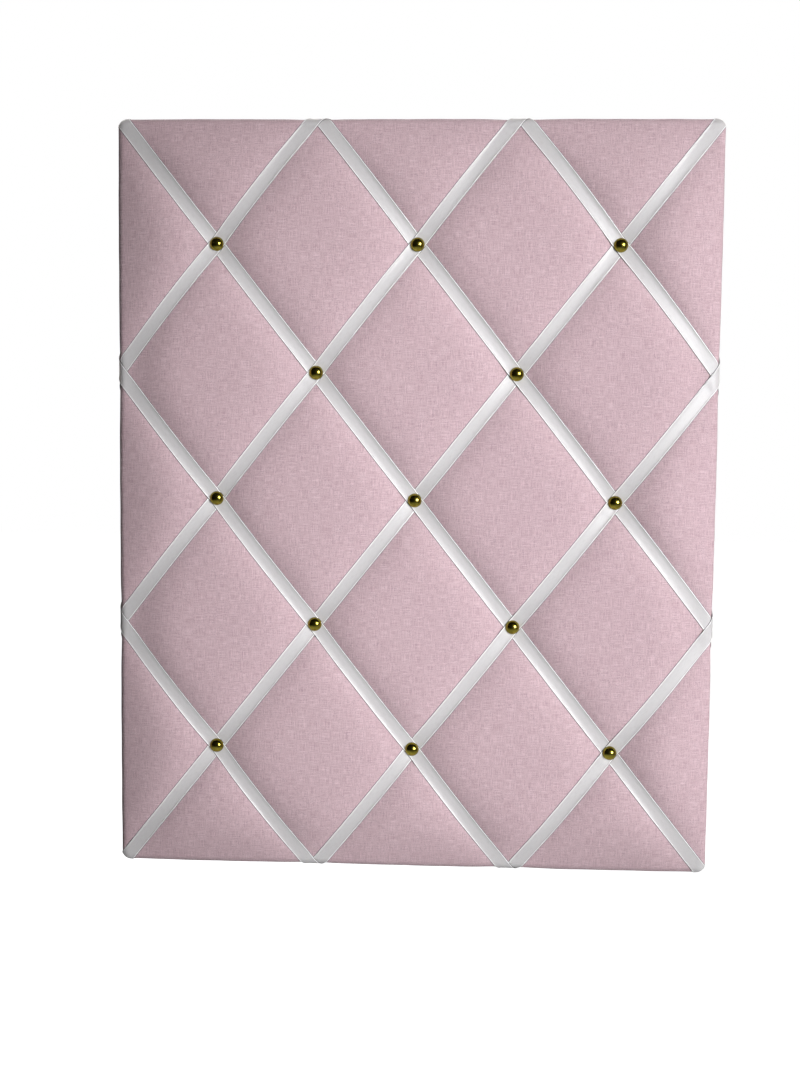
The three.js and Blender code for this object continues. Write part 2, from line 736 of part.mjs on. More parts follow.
// Staples: a flat crown across the ribbon and two legs into the core
function stapleBody() {
  const outer = stapleLeg + STAPLE_WIRE / 2;
  const inner = stapleLeg - STAPLE_WIRE / 2;
  const crownBack = stapleFront + STAPLE_WIRE;
  const outline = new THREE.Shape([
    new THREE.Vector2(-outer, crownBack),
    new THREE.Vector2(-outer, stapleTip),
    new THREE.Vector2(-inner, stapleTip),
    new THREE.Vector2(-inner, stapleFront),
    new THREE.Vector2(inner, stapleFront),
    new THREE.Vector2(inner, stapleTip),
    new THREE.Vector2(outer, stapleTip),
    new THREE.Vector2(outer, crownBack),
  ]);
  const geometry = new THREE.ExtrudeGeometry(outline, { depth: STAPLE_WIRE, bevelEnabled: false });
  return geometry.translate(0, 0, -STAPLE_WIRE / 2);
}
staples.forEach((place, i) => {
  const name = `staple_${String(i + 1).padStart(2, '0')}`;
  addPiece(board, name, placeOnBack(stapleBody(), place), 'steel');
});

// Back panel: nine fields, so that its middle stays one plain rectangle clear of every fastener
function panelBody() {
  const linesX = [-panelHalfX, -PANEL_MIDDLE_WIDTH / 2, PANEL_MIDDLE_WIDTH / 2, panelHalfX];
  const linesZ = [-panelHalfZ, -PANEL_MIDDLE_HEIGHT / 2, PANEL_MIDDLE_HEIGHT / 2, panelHalfZ];
  const holes = [
    ...pins.map((pin) => ({ ...pin, radius: pinHole })),
    ...screws.map((screw) => ({ ...screw, radius: screwHole })),
  ];
  const points = [];
  const triangles = [];
  const numbers = new Map();
  const numberOf = ({ x, y }) => {
    const key = `${x.toFixed(4)},${y.toFixed(4)}`;
    if (!numbers.has(key)) {
      numbers.set(key, points.length);
      points.push(new THREE.Vector3(x, panelFront, y), new THREE.Vector3(x, 0, y));
    }
    return numbers.get(key);
  };
  const wall = (from, to) => triangles.push([from, to, to + 1], [from, to + 1, from + 1]);
  const lastX = linesX.length - 2;
  const lastZ = linesZ.length - 2;
  for (let i = 0; i <= lastX; i += 1) {
    for (let j = 0; j <= lastZ; j += 1) {
      const outline = [[i, j], [i + 1, j], [i + 1, j + 1], [i, j + 1]].map(([column, row]) =>
        new THREE.Vector2(linesX[column], linesZ[row]));
      const inField = ({ x, z }) =>
        x > linesX[i] && x < linesX[i + 1] && z > linesZ[j] && z < linesZ[j + 1];
      const rims = holes.filter(inField).map(({ x, z, radius }) =>
        Array.from({ length: HOLE_SIDES }, (_, k) => {
          const angle = -k / HOLE_SIDES * 2 * Math.PI;
          return new THREE.Vector2(x + radius * Math.cos(angle), z + radius * Math.sin(angle));
        }));
      const all = [outline, ...rims].flat();
      for (const face of THREE.ShapeUtils.triangulateShape(outline, rims)) {
        const [a, b, c] = face.map((k) => numberOf(all[k]));
        triangles.push([a, c, b], [a + 1, b + 1, c + 1]);
      }
      for (const rim of rims) {
        rim.forEach((point, k) => wall(numberOf(point), numberOf(rim[(k + 1) % rim.length])));
      }
      const outer = [j === 0, i === lastX, j === lastZ, i === 0];
      outline.forEach((point, k) => {
        if (outer[k]) {
          wall(numberOf(point), numberOf(outline[(k + 1) % outline.length]));
        }
      });
    }
  }
  return closedGeometry(points, triangles);
}
addPiece(board, 'back_panel', panelBody(), 'board');

// A fastener driven from the back: a domed head behind its seat, and a pointed shank in front of it
function fastenerBody(headDiameter, headHeight, shankDiameter, length) {
  const head = headDiameter / 2;
  const shank = shankDiameter / 2;
  const shoulder = headHeight / 2;
  const profile = [
    new THREE.Vector2(0, -length),
    new THREE.Vector2(shank, shankDiameter - length),
    new THREE.Vector2(shank, 0),
    new THREE.Vector2(head, 0),
    new THREE.Vector2(head, shoulder),
    new THREE.Vector2(head * Math.cos(Math.PI / 4), headHeight),
    new THREE.Vector2(0, headHeight),
  ];
  return new THREE.LatheGeometry(profile, FASTENER_SIDES);
}
pins.forEach(({ x, z }, i) => {
  const length = CLEARANCE - coreBack + PIN_DEPTH;
  const body = fastenerBody(PIN_HEAD_DIAMETER, PIN_HEAD_HEIGHT, PIN_DIAMETER, length);
  addPiece(board, `panel_pin_${i + 1}`, body, 'steel').position.set(x, CLEARANCE, z);
});

// D-ring hangers: the strap folds round the ring's bar, and a screw holds both of its layers
const strapBase = CLEARANCE;
const boreRadius = RING_WIRE / 2 + CLEARANCE;
const loopRadius = boreRadius + STRAP_THICKNESS;
const axisY = strapBase + loopRadius;
const slitTop = strapBase + STRAP_THICKNESS + STRAP_SLIT;
const strapBack = slitTop + STRAP_THICKNESS;

// The strap's section, with the bar's axis at the origin of X and the layers running to +X
function strapSection() {
  const outerEnd = Math.asin((strapBack - axisY) / loopRadius);
  const innerEnd = Math.asin((slitTop - axisY) / boreRadius);
  const section = new THREE.Shape();
  section.moveTo(STRAP_LENGTH, strapBase);
  section.lineTo(0, strapBase);
  section.absarc(0, axisY, loopRadius, -Math.PI / 2, outerEnd - 2 * Math.PI, true);
  section.lineTo(STRAP_LENGTH, strapBack);
  section.lineTo(STRAP_LENGTH, slitTop);
  section.absarc(0, axisY, boreRadius, innerEnd, 3 * Math.PI / 2, false);
  section.lineTo(STRAP_LENGTH, strapBase + STRAP_THICKNESS);
  return section;
}

// The strap's outline from behind, with a round end, as a block to keep
function strapOutline() {
  const half = STRAP_WIDTH / 2;
  const outline = new THREE.Shape();
  outline.moveTo(-2 * loopRadius, -half);
  outline.lineTo(STRAP_LENGTH - half, -half);
  outline.absarc(STRAP_LENGTH - half, 0, half, -Math.PI / 2, Math.PI / 2, false);
  outline.lineTo(-2 * loopRadius, half);
  const depth = 4 * loopRadius;
  const options = { depth, bevelEnabled: false, curveSegments: LOOP_STEPS };
  return new THREE.ExtrudeGeometry(outline, options).rotateX(Math.PI / 2).translate(0, depth - loopRadius, 0);
}

function strapBody() {
  const options = { depth: STRAP_WIDTH, bevelEnabled: false, curveSegments: LOOP_STEPS };
  const folded = new THREE.ExtrudeGeometry(strapSection(), options).translate(0, 0, -STRAP_WIDTH / 2);
  const hole = barAlongDepth(SCREW_SETBACK, 0, -CLEARANCE, strapBack + CLEARANCE, screwHole, FASTENER_SIDES);
  return cut(fromSolid(toSolid(folded).intersect(toSolid(strapOutline()))), [hole]);
}

// The ring's wire: a straight bar, two bends and a half circle
class RingPath extends THREE.Curve {
  getPoint(share, target = new THREE.Vector3()) {
    const bow = RING_BAR / 2 + RING_BEND;
    const bend = RING_BEND * Math.PI / 2;
    let length = share * (RING_BAR + 2 * bend + bow * Math.PI);
    if (length <= RING_BAR) {
      return target.set(0, 0, length - RING_BAR / 2);
    }
    length -= RING_BAR;
    if (length <= bend) {
      const angle = length / RING_BEND;
      return target.set(RING_BEND * (Math.cos(angle) - 1), 0, RING_BAR / 2 + RING_BEND * Math.sin(angle));
    }
    length -= bend;
    if (length <= bow * Math.PI) {
      const angle = length / bow;
      return target.set(-RING_BEND - bow * Math.sin(angle), 0, bow * Math.cos(angle));
    }
    const angle = (length - bow * Math.PI) / RING_BEND;
    return target.set(-RING_BEND * (1 - Math.sin(angle)), 0, -RING_BAR / 2 - RING_BEND * Math.cos(angle));
  }
}

// A wire bent into a closed ring: rings of points round its path, with no ends
function ringBody() {
  const path = new RingPath();
  const points = [];
  const triangles = [];
  for (let step = 0; step < RING_STEPS; step += 1) {
    const share = step / RING_STEPS;
    const middle = path.getPoint(share);
    const tangent = path.getTangent(share);
    const level = new THREE.Vector3(tangent.z, 0, -tangent.x);
    for (let side = 0; side < RING_SIDES; side += 1) {
      const angle = side / RING_SIDES * 2 * Math.PI;
      const point = middle.clone().addScaledVector(level, RING_WIRE / 2 * Math.cos(angle));
      point.y += RING_WIRE / 2 * Math.sin(angle);
      points.push(point);
      const next = (side + 1) % RING_SIDES;
      const here = step * RING_SIDES;
      const there = (step + 1) % RING_STEPS * RING_SIDES;
      triangles.push([here + side, here + next, there + next], [here + side, there + next, there + side]);
    }
  }
  return closedGeometry(points, triangles);
}

// A pan head with a straight recess, turned about its axis and then slotted
function screwBody() {
  const length = CLEARANCE + strapBack - coreBack + SCREW_DEPTH;
  const body = fastenerBody(SCREW_HEAD_DIAMETER, SCREW_HEAD_HEIGHT, SCREW_DIAMETER, length);
  const half = SCREW_RECESS / 2;
  const slot = boxBetween(
    new THREE.Vector3(-SCREW_HEAD_DIAMETER, SCREW_HEAD_HEIGHT - SCREW_RECESS, -half),
    new THREE.Vector3(SCREW_HEAD_DIAMETER, SCREW_HEAD_HEIGHT + SCREW_RECESS, half),
  );
  return cut(body, [slot]);
}

for (const { name, side } of hangers) {
  const hanger = new THREE.Group();
  hanger.position.set(side * hangerX, 0, hangerZ);
  hanger.rotation.y = side > 0 ? 0 : Math.PI;
  board.add(hanger);
  addPiece(hanger, `hanger_strap_${name}`, strapBody(), 'steel');
  addPiece(hanger, `hanger_ring_${name}`, ringBody(), 'steel').position.y = axisY;
  const screw = addPiece(hanger, `hanger_screw_${name}`, screwBody(), 'steel');
  screw.position.set(SCREW_SETBACK, strapBack + CLEARANCE, 0);
}

export default board;
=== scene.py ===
"""The looks of a french memo board: a padded cloth cover, a lattice of satin ribbons, domed brass tacks,
a hardboard back and two ring hangers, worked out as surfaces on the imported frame. Lengths are in metres,
+Z is up and the front faces -Y."""

import math

import bmesh
import bpy
import numpy as np
from mathutils import Matrix, Vector


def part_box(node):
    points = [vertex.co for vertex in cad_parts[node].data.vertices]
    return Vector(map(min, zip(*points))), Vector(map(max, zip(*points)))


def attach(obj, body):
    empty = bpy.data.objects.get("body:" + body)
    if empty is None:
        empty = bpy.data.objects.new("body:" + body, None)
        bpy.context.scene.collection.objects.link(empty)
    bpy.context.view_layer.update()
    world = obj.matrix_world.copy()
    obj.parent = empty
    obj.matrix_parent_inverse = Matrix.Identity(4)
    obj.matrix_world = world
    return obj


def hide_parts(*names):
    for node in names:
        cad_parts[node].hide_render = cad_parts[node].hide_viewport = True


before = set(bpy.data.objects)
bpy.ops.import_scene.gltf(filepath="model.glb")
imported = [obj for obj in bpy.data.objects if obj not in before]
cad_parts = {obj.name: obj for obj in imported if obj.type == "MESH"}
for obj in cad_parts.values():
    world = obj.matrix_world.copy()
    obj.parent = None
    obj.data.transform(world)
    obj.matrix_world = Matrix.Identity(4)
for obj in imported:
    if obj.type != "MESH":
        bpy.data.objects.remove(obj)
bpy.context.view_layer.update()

MM = 0.001
MIDWAY = 0.5
MERGE_DISTANCE = 1e-7
BOARD_MIDDLE = (0, 0, 0)

# Cover: what its solid says of its size, and the roundings that it turns over
_, cover_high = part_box("cover_cloth")
SIDE_PUFF = 0.9 * MM
HALF_WIDTH = cover_high.x + SIDE_PUFF
HALF_HEIGHT = cover_high.z + SIDE_PUFF
HEM_BACK = cover_high.y
EDGE_RADIUS = 5.5 * MM
BACK_RADIUS = 2 * MM
CORNER_RADIUS = 6.5 * MM
HEM_WIDTH = 18 * MM
RIM_FLAT = 1 * MM

# Tacks and the lattice that they stand on
tack_names = sorted(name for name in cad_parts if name.startswith("tack_"))
tack_boxes = [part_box(name) for name in tack_names]
tack_places = [((low.x + high.x) / 2, (low.z + high.z) / 2) for low, high in tack_boxes]
TACK_RADIUS = (tack_boxes[0][1].z - tack_boxes[0][0].z) / 2
TACK_FRONT = tack_boxes[0][0].y
TACK_TIP = tack_boxes[0][1].y
HEAD_HEIGHT = 3.6 * MM
HEAD_WALL = 0.7 * MM
SHANK_RADIUS = 0.8 * MM
POINT_LENGTH = 2.4 * MM
RIM_ROLL = 0.03 * MM
TACK_SEAT = TACK_FRONT + HEAD_HEIGHT
SEAT_OVER_RIM = 1.7 * MM
RIM_LEVEL = TACK_SEAT + SEAT_OVER_RIM
LATTICE_REACH = 3
PITCH_X = max(x for x, z in tack_places) / (LATTICE_REACH - 1)
PITCH_Z = max(z for x, z in tack_places) / (LATTICE_REACH - 1)
LATTICE_STEP = math.hypot(PITCH_X, PITCH_Z)

# Padding: rise under a ribbon between tacks and in a diamond, the powers of their climbs, the fall at the
# edges and the slow waves of the cloth
RIBBON_CROWN = 4.2 * MM
DIAMOND_CROWN = 5.6 * MM
DIMPLE_POWER = 3
DIAMOND_POWER = 4.6
CUP_START = 0.2
CUP_SPAN = 0.95
RIM_FALL = 42 * MM
RIM_SOFT = 8 * MM
RIBBON_PULL = 0.5 * MM
PULL_POWER = 12
UNEVEN_FACE = 0.1 * MM
UNEVEN_WALL = 0.16 * MM
FACE_WAVES = (0.071, 0.053, 0.039)
WALL_WAVES = (0.083, 0.047, 0.029)
WAVE_TURN = 2.4
WAVE_PHASE = 1.7
WAVE_FADE = 30 * MM
CORNER_STILL = 0.3
WADDING_INSET = 0.9 * MM
CORE_AIR = 0.2 * MM

# Ribbons
RIBBON_HALF = 4.9 * MM
BAND_HALF = RIBBON_HALF * LATTICE_STEP / (2 * PITCH_X * PITCH_Z)
RIBBON_REST = 0.07 * MM
RIBBON_THICKNESS = 0.28 * MM
SELVEDGE_HEIGHT = 0.21 * MM
SELVEDGE_INSET = 0.66 * MM
SELVEDGE_WIDTH = 0.3 * MM
SELVEDGE_THIN = 0.5
LANE_LIFT = 0.48 * MM
LIFT_FULL = 6.4 * MM
LIFT_END = 13 * MM
RIBBON_PAST_HEM = 11 * MM
CORNER_TAIL = 36 * MM
FABRIC_SHARP = math.radians(60)
TACK_AIR = 0.4 * MM
TACK_RISE = SEAT_OVER_RIM - RIBBON_REST - LANE_LIFT - RIBBON_THICKNESS - TACK_AIR

# Hangers, their screws and the panel's pins
RING_BAR = 12 * MM
RING_BEND = 3 * MM
SCREW_HEAD_HEIGHT = 2 * MM
SCREW_RECESS = 0.8 * MM
SCREW_RADIUS = 1.6 * MM
SCREW_POINT = 2.2 * MM
SCREW_ROOT = 0.6 * MM
SCREW_RIM = 0.5
SCREW_DOME_POWER = 4
SLOT_HALF = 0.4 * MM
PIN_HEAD_HEIGHT = 0.8 * MM
PIN_SHOULDER = PIN_HEAD_HEIGHT / 3
PIN_RADIUS = 0.7 * MM
PIN_POINT = 2 * PIN_RADIUS

# Threads of the cloth and floats of the satin
THREAD = 0.55 * MM
SLUB_ACROSS = 1.8
SLUB_ALONG = 0.07
FLOAT_WIDTH = 0.16 * MM
FLOAT_LENGTH = 1.6 * MM
# Widths of the satin's painted highlight along each edge's bead and of the painted shadow at each edge
BEAD_HIGHLIGHT_WIDTH = 1.0 * MM
EDGE_SHADOW_WIDTH = 0.4 * MM
STREAK_STRETCH = (0.7, 0.5, 1.0)
CROSS_STRETCH = (0.08, 1.2, 1.0)

# Noise: its detail, and how many patches and grains a metre has
FINE_DETAIL = 3.0
SOFT_DETAIL = 2.0
CLOTH_GRAIN = 1900.0
BRASS_NOISE = (240.0, 2600.0)
STEEL_NOISE = (420.0, 3200.0)
HARDBOARD_NOISE = (34.0, 900.0)
FIBRE_NOISE = (60.0, 1100.0)
WADDING_NOISE = (90.0, 1400.0)

# Ranges of noise that carry one colour over to the next
ROSE_RANGE = (0.3, 0.7)
PALE_RANGE = (0.44, 0.9)
FLECK_RANGE = (0.5, 0.84)
STREAK_RANGE = (0.45, 0.75)
BRASS_RANGE = (0.45, 0.8)
STEEL_RANGE = (0.4, 0.7)
FIBRE_PATCHES = (0.3, 1.2)
FIBRE_FLECKS = (0.5, 0.7)

# Ranges of roughness, and the strength and height of reliefs
SATIN_ROUGH = (0.34, 0.52)
BRASS_ROUGH = (0.14, 0.26)
STEEL_ROUGH = (0.22, 0.44)
HARDBOARD_ROUGH = 0.62
FIBRE_ROUGH = 0.9
WEAVE_RELIEF = (0.3, 0.05 * MM)
SATIN_RELIEF = (0.1, 0.04 * MM)
FIBRE_RELIEF = (0.25, 0.2 * MM)
WADDING_RELIEF = (0.6, 0.6 * MM)

# Samples along the surfaces
CELLS_PER_PITCH = 33
PAD_CELLS_PER_PITCH = 11
CORNER_COLUMNS = 10
ROUND_ROWS = 8
WALL_ROWS = 4
HEM_ROWS = 5
PAD_ROWS = 5
PAD_WALL_ROWS = 3
TAIL_ROWS = 20
JOIN_ROWS = 4
TOP_STEPS = 12
UNDER_STEPS = 7
FACE_STATION = 1.8 * MM
WRAP_STATION = 0.8 * MM
WRAP_MARGIN = 9 * MM
CORNER_MARGIN = 9 * MM
TURN_SIDES = 48
DOME_ROWS = 18
PIN_ROWS = 6
SCREW_ROWS = 10
SLOT_ROWS = 3
RING_STATIONS = 120
RING_SIDES = 20
RING_PROBE = 0.05 * MM
METAL_SHARP = math.radians(35)

# Colours, as red, green and blue from 0 to FULL, and the curve of screen colours
FULL = 255
CURVE_TOE = 0.04045
CURVE_SLOPE = 12.92
CURVE_OFFSET = 0.055
CURVE_POWER = 2.4
WHITE = (255, 255, 255)
CLOTH_PINK = (217, 190, 196)
CLOTH_ROSE = (181, 150, 157)
CLOTH_PALE = (239, 219, 223)
CLOTH_FLECK = (152, 127, 136)
SATIN_WHITE = (209, 207, 207)
# A shaded white, painted in streaks along the satin's floats as painted sheen
SATIN_PAINTED_SHADE = (198, 195, 195)
# A painted highlight along each ribbon edge's bead, and a painted shadow at the edge's rim
SATIN_BEAD_HIGHLIGHT = (254, 254, 254)
SATIN_EDGE_SHADOW = (88, 82, 84)
BRASS_BRIGHT = (152, 140, 58)
BRASS_AGED = (100, 89, 24)
STEEL_BRIGHT = (200, 201, 204)
STEEL_DULL = (150, 151, 155)
HARDBOARD_BROWN = (128, 92, 64)
HARDBOARD_DARK = (88, 58, 38)
FIBRE_TAN = (176, 148, 112)
FIBRE_DARK = (140, 112, 80)
WADDING_WHITE = (240, 239, 235)
WADDING_GREY = (222, 221, 217)
FLOOR_PALE = (236, 236, 236)
FLOOR_DIM = (92, 92, 94)

# Floor, light and camera
FLOOR_LEVEL = -0.9
FLOOR_HALF = 12
FLOOR_GLOW_NEAR = 0.66
FLOOR_GLOW_FAR = 1.0
FLOOR_GLOSS = 0.7
FLOOR_NEAR = 1.0
FLOOR_FAR = 2.6
FILL_LEFT = 0.0
FILL_RIGHT = 0.1
FILL_WARM = (255, 238, 224)
ROOM_GLOSS = 0.02
ROOM_END = -0.3
BACKDROP_START = 0.5
KEY_AZIMUTH = 38
KEY_ELEVATION = 8
KEY_DISTANCE = 1.24
KEY_SIZE = 0.72
KEY_SPREAD = 26.7
KEY_AIM = (0.129, 0, -0.003)
KEY_WATTS = 2.07
KEY_COOL = (253, 253, 255)
BACK_PLACE = (-0.9, 1.5, 1.1)
BACK_SIZE = 1.6
BACK_SPREAD = 180
BACK_WATTS = 34
CAMERA_EYE = (0.0232, -0.833, 0.0339)
CAMERA_AIM = (-0.0098, -0.0177, -0.0227)
CAMERA_ROLL = 0.0105
CAMERA_LENS = 40.49


# Lattice and cover surface

def lattice_of(x, z):
    """Lattice coordinates: a is whole on every falling ribbon, b on every rising one."""
    return (x / PITCH_X + z / PITCH_Z) / 2, (x / PITCH_X - z / PITCH_Z) / 2


def away_from_ribbon(value):
    """Share of the way, from 0 to 1, from the nearest ribbon to the middle between two: level under the
    ribbon's middle, bent like a parabola towards its edges and straight beyond them."""
    offset = np.abs(value - np.round(value))
    past = np.maximum(0, offset / BAND_HALF - CUP_START)
    bent = np.where(past < CUP_SPAN, past ** 2 / (2 * CUP_SPAN), past - CUP_SPAN / 2)
    return bent / (MIDWAY / BAND_HALF - CUP_START - CUP_SPAN / 2)


def swell(share, power):
    """A climb from 0 to 1 that starts steeply and ends level: one less the rest of the way to a power."""
    return 1 - (1 - share) ** power


def rim_share(distance):
    """Share of the full rise at a distance inside the edge: it leaves the edge level, climbs and ends
    level."""
    inside = np.maximum(distance, 0)
    softened = inside ** 2 / (inside + RIM_SOFT)
    return swell(np.clip(softened / RIM_FALL, 0, 1), 2)


def slow_wave(first, second, lengths):
    """A sum of slow sine waves in two directions, each with its own fixed phase, from about -1 to 1."""
    total = 0
    for index, length in enumerate(lengths):
        turn = WAVE_TURN * index
        along = first * math.cos(turn) + second * math.sin(turn)
        total = total + np.sin(2 * math.pi * along / length + WAVE_PHASE * index)
    return total / len(lengths)


def cloth_rise(x, z):
    """Rise of the cover above its edges' profile, from a place of the unfolded plan: a ribbon climbs from
    tack to tack, a diamond climbs further between its ribbons, and both fall to nothing down the edge's
    rounding."""
    a, b = lattice_of(x, z)
    away_a, away_b = away_from_ribbon(a), away_from_ribbon(b)
    steep_a, steep_b = swell(away_a, DIMPLE_POWER), swell(away_b, DIMPLE_POWER)
    ribbon = RIBBON_CROWN * (steep_a + steep_b - steep_a * steep_b)
    diamond = DIAMOND_CROWN * swell(away_a, DIAMOND_POWER) * swell(away_b, DIAMOND_POWER)
    uneven = UNEVEN_FACE * slow_wave(x, z, FACE_WAVES)
    rim_x = rim_share(HALF_WIDTH - EDGE_RADIUS + EDGE_ARC - np.abs(x))
    rim_z = rim_share(HALF_HEIGHT - EDGE_RADIUS + EDGE_ARC - np.abs(z))
    return (TACK_RISE + ribbon + diamond + uneven) * rim_x * rim_z


EDGE_ARC = EDGE_RADIUS * math.pi / 2
WALL_LENGTH = HEM_BACK - BACK_RADIUS - RIM_LEVEL - EDGE_RADIUS
BACK_ARC = BACK_RADIUS * math.pi / 2
BACK_START = EDGE_ARC + WALL_LENGTH + BACK_ARC
HEM_END = BACK_START + HEM_WIDTH - BACK_RADIUS


def edge_profile(length, lift):
    """Place on the way over an edge after an unfolded length past the start of the front rounding: two arcs
    with a wall between them and a level stretch after them, moved out by a lift along the normal.
    Gives the distance outside the finished outline and the depth."""
    front = np.clip(length, 0, EDGE_ARC) / EDGE_RADIUS
    wall = np.clip(length - EDGE_ARC, 0, WALL_LENGTH)
    back = np.clip(length - EDGE_ARC - WALL_LENGTH, 0, BACK_ARC) / BACK_RADIUS
    level = np.maximum(length - BACK_START, 0)
    out = -EDGE_RADIUS * (1 - np.sin(front)) - BACK_RADIUS * (1 - np.cos(back)) - level
    depth = RIM_LEVEL + EDGE_RADIUS * (1 - np.cos(front)) + wall + BACK_RADIUS * np.sin(back)
    turned = front + back
    return out + lift * np.sin(turned), depth - lift * np.cos(turned)


def side_wave(over_side, x, z, length):
    """Uneven line of a wrapped edge, left and right or above and below: drawn in where ribbons pull over it,
    which is at every odd pitch, with slow waves, and fading out on the face, on the back and at the
    corners."""
    along = np.where(over_side, z, x)
    half = np.where(over_side, HALF_HEIGHT, HALF_WIDTH)
    pitch = np.where(over_side, PITCH_Z, PITCH_X)
    share = np.sin(np.pi * np.clip(length / BACK_START, 0, 1))
    fade = np.clip((half - np.abs(along)) / WAVE_FADE - CORNER_STILL, 0, 1)
    pull = np.sin(np.pi / 2 * along / pitch) ** PULL_POWER
    waves = UNEVEN_WALL * slow_wave(along, along, WALL_WAVES)
    return share * fade * (waves - RIBBON_PULL * pull)


def wrapped(x, z, lift):
    """Points of the unfolded plan laid on the cover: on the face they keep their plan place, and past the
    start of the front rounding their unfolded length runs down the edge's profile. Both stand off by the
    cloth's rise and a lift."""
    past_x = np.abs(x) - (HALF_WIDTH - EDGE_RADIUS)
    past_z = np.abs(z) - (HALF_HEIGHT - EDGE_RADIUS)
    over_side = past_x > past_z
    length = np.where(over_side, past_x, past_z)
    rise = cloth_rise(x, z) + lift
    out, depth = edge_profile(length, rise)
    out = out + side_wave(over_side, x, z, length)
    on_face = length <= 0
    place_x = np.where(on_face | ~over_side, x, np.sign(x) * (HALF_WIDTH + out))
    place_z = np.where(on_face | over_side, z, np.sign(z) * (HALF_HEIGHT + out))
    place_y = np.where(on_face, RIM_LEVEL - rise, depth)
    return np.stack([place_x, place_y, place_z], axis=-1)


# Meshes

def grid_faces(rows, columns, closed_rows=False, closed_columns=False):
    """Quads of a grid of points numbered row by row."""
    row = np.arange(rows if closed_rows else rows - 1)
    column = np.arange(columns if closed_columns else columns - 1)
    row, column = np.meshgrid(row, column, indexing="ij")
    above, beside = (row + 1) % rows, (column + 1) % columns
    here, up = row * columns, above * columns
    corners = [here + column, here + beside, up + beside, up + column]
    return np.stack(corners, axis=-1).reshape(-1, 4).tolist()


def add_piece(name, points, faces, material, laid=None, sharp=None, closed=True):
    """A mesh piece at the origin: equal points merged, faces turned outwards, smooth but for sharp angles.
    laid gives each point its place on the flat piece, kept as a UV map."""
    mesh = bpy.data.meshes.new(name)
    mesh.from_pydata(np.asarray(points).reshape(-1, 3).tolist(), [], faces)
    if laid is not None:
        corner_points = np.empty(len(mesh.loops), np.int32)
        mesh.loops.foreach_get("vertex_index", corner_points)
        places = np.asarray(laid, np.float32).reshape(-1, 2)[corner_points]
        mesh.uv_layers.new(name="laid").data.foreach_set("uv", places.ravel())
    shape = bmesh.new()
    shape.from_mesh(mesh)
    bmesh.ops.remove_doubles(shape, verts=shape.verts, dist=MERGE_DISTANCE)
    if closed:
        bmesh.ops.recalc_face_normals(shape, faces=shape.faces)
    shape.to_mesh(mesh)
    shape.free()
    mesh.shade_smooth()
    if sharp is not None:
        mesh.set_sharp_from_angle(angle=sharp)
    mesh.materials.append(material)
    piece = bpy.data.objects.new(name, mesh)
    bpy.context.scene.collection.objects.link(piece)
    return piece


def stand_for(piece, node, body):
    """Lets a piece take the place of a node of the frame, on its body."""
    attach(piece, body)
    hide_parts(node)


def turned_shell(profile, place):
    """Points and faces of a profile of radius and depth turned about the line through its place along Y."""
    profile = np.array(profile)
    angle = np.arange(TURN_SIDES) / TURN_SIDES * 2 * math.pi
    radius, depth = profile[:, :1], profile[:, 1:]
    x = place[0] + radius * np.cos(angle)
    z = place[1] + radius * np.sin(angle)
    points = np.stack([x, np.broadcast_to(depth, x.shape), z], axis=-1)
    return points.reshape(-1, 3), grid_faces(len(profile), TURN_SIDES, closed_columns=True)


# Nodes of materials

def linear(colour):
    """A colour of 0 to FULL as the linear one that a shader takes."""
    share = np.array(colour) / FULL
    curved = ((share + CURVE_OFFSET) / (1 + CURVE_OFFSET)) ** CURVE_POWER
    values = np.where(share <= CURVE_TOE, share / CURVE_SLOPE, curved)
    return (*values.tolist(), 1.0)


def feed(tree, socket, value):
    """Gives an input a link where the value is a socket, and the plain value otherwise."""
    if isinstance(value, bpy.types.NodeSocket):
        tree.links.new(value, socket)
    else:
        socket.default_value = value


def put(tree, kind, inputs=None, **settings):
    """Adds a node with its settings, and feeds its inputs."""
    node = tree.nodes.new(kind)
    for name, value in settings.items():
        setattr(node, name, value)
    for name, value in (inputs or {}).items():
        feed(tree, node.inputs[name], value)
    return node


def maths(tree, operation, *values):
    return put(tree, "ShaderNodeMath", dict(enumerate(values)), operation=operation).outputs[0]


def blended(tree, share, first, second):
    """The first colour carried over to the second by a share."""
    node = put(tree, "ShaderNodeMix", {0: share}, data_type="RGBA")
    colours = [socket for socket in node.inputs if socket.type == "RGBA"]
    for socket, value in zip(colours, (first, second)):
        feed(tree, socket, value)
    return next(socket for socket in node.outputs if socket.type == "RGBA")


def ramp(tree, value, start, end, low=0.0, high=1.0, **settings):
    """A value carried from the range of start to end over to that of low to high, and held at its ends."""
    inputs = {"Value": value, "From Min": start, "From Max": end, "To Min": low, "To Max": high}
    return put(tree, "ShaderNodeMapRange", inputs, **settings).outputs[0]


def noise_at(tree, vector, stretch, detail=SOFT_DETAIL):
    """Noise on a place stretched by a number for each axis, from 0 to 1."""
    scaled = put(tree, "ShaderNodeMapping", {"Vector": vector, "Scale": stretch}).outputs[0]
    return put(tree, "ShaderNodeTexNoise", {"Vector": scaled, "Scale": 1.0, "Detail": detail}).outputs[0]


def effect(name, inputs, outputs):
    """A shader node group with named sockets, its start's outputs and its end's inputs."""
    group = bpy.data.node_groups.new(name, "ShaderNodeTree")
    for socket_name, kind in inputs:
        group.interface.new_socket(socket_name, in_out="INPUT", socket_type=kind)
    for socket_name, kind in outputs:
        group.interface.new_socket(socket_name, in_out="OUTPUT", socket_type=kind)
    start = group.nodes.new("NodeGroupInput")
    end = group.nodes.new("NodeGroupOutput")
    return group, start.outputs, end.inputs


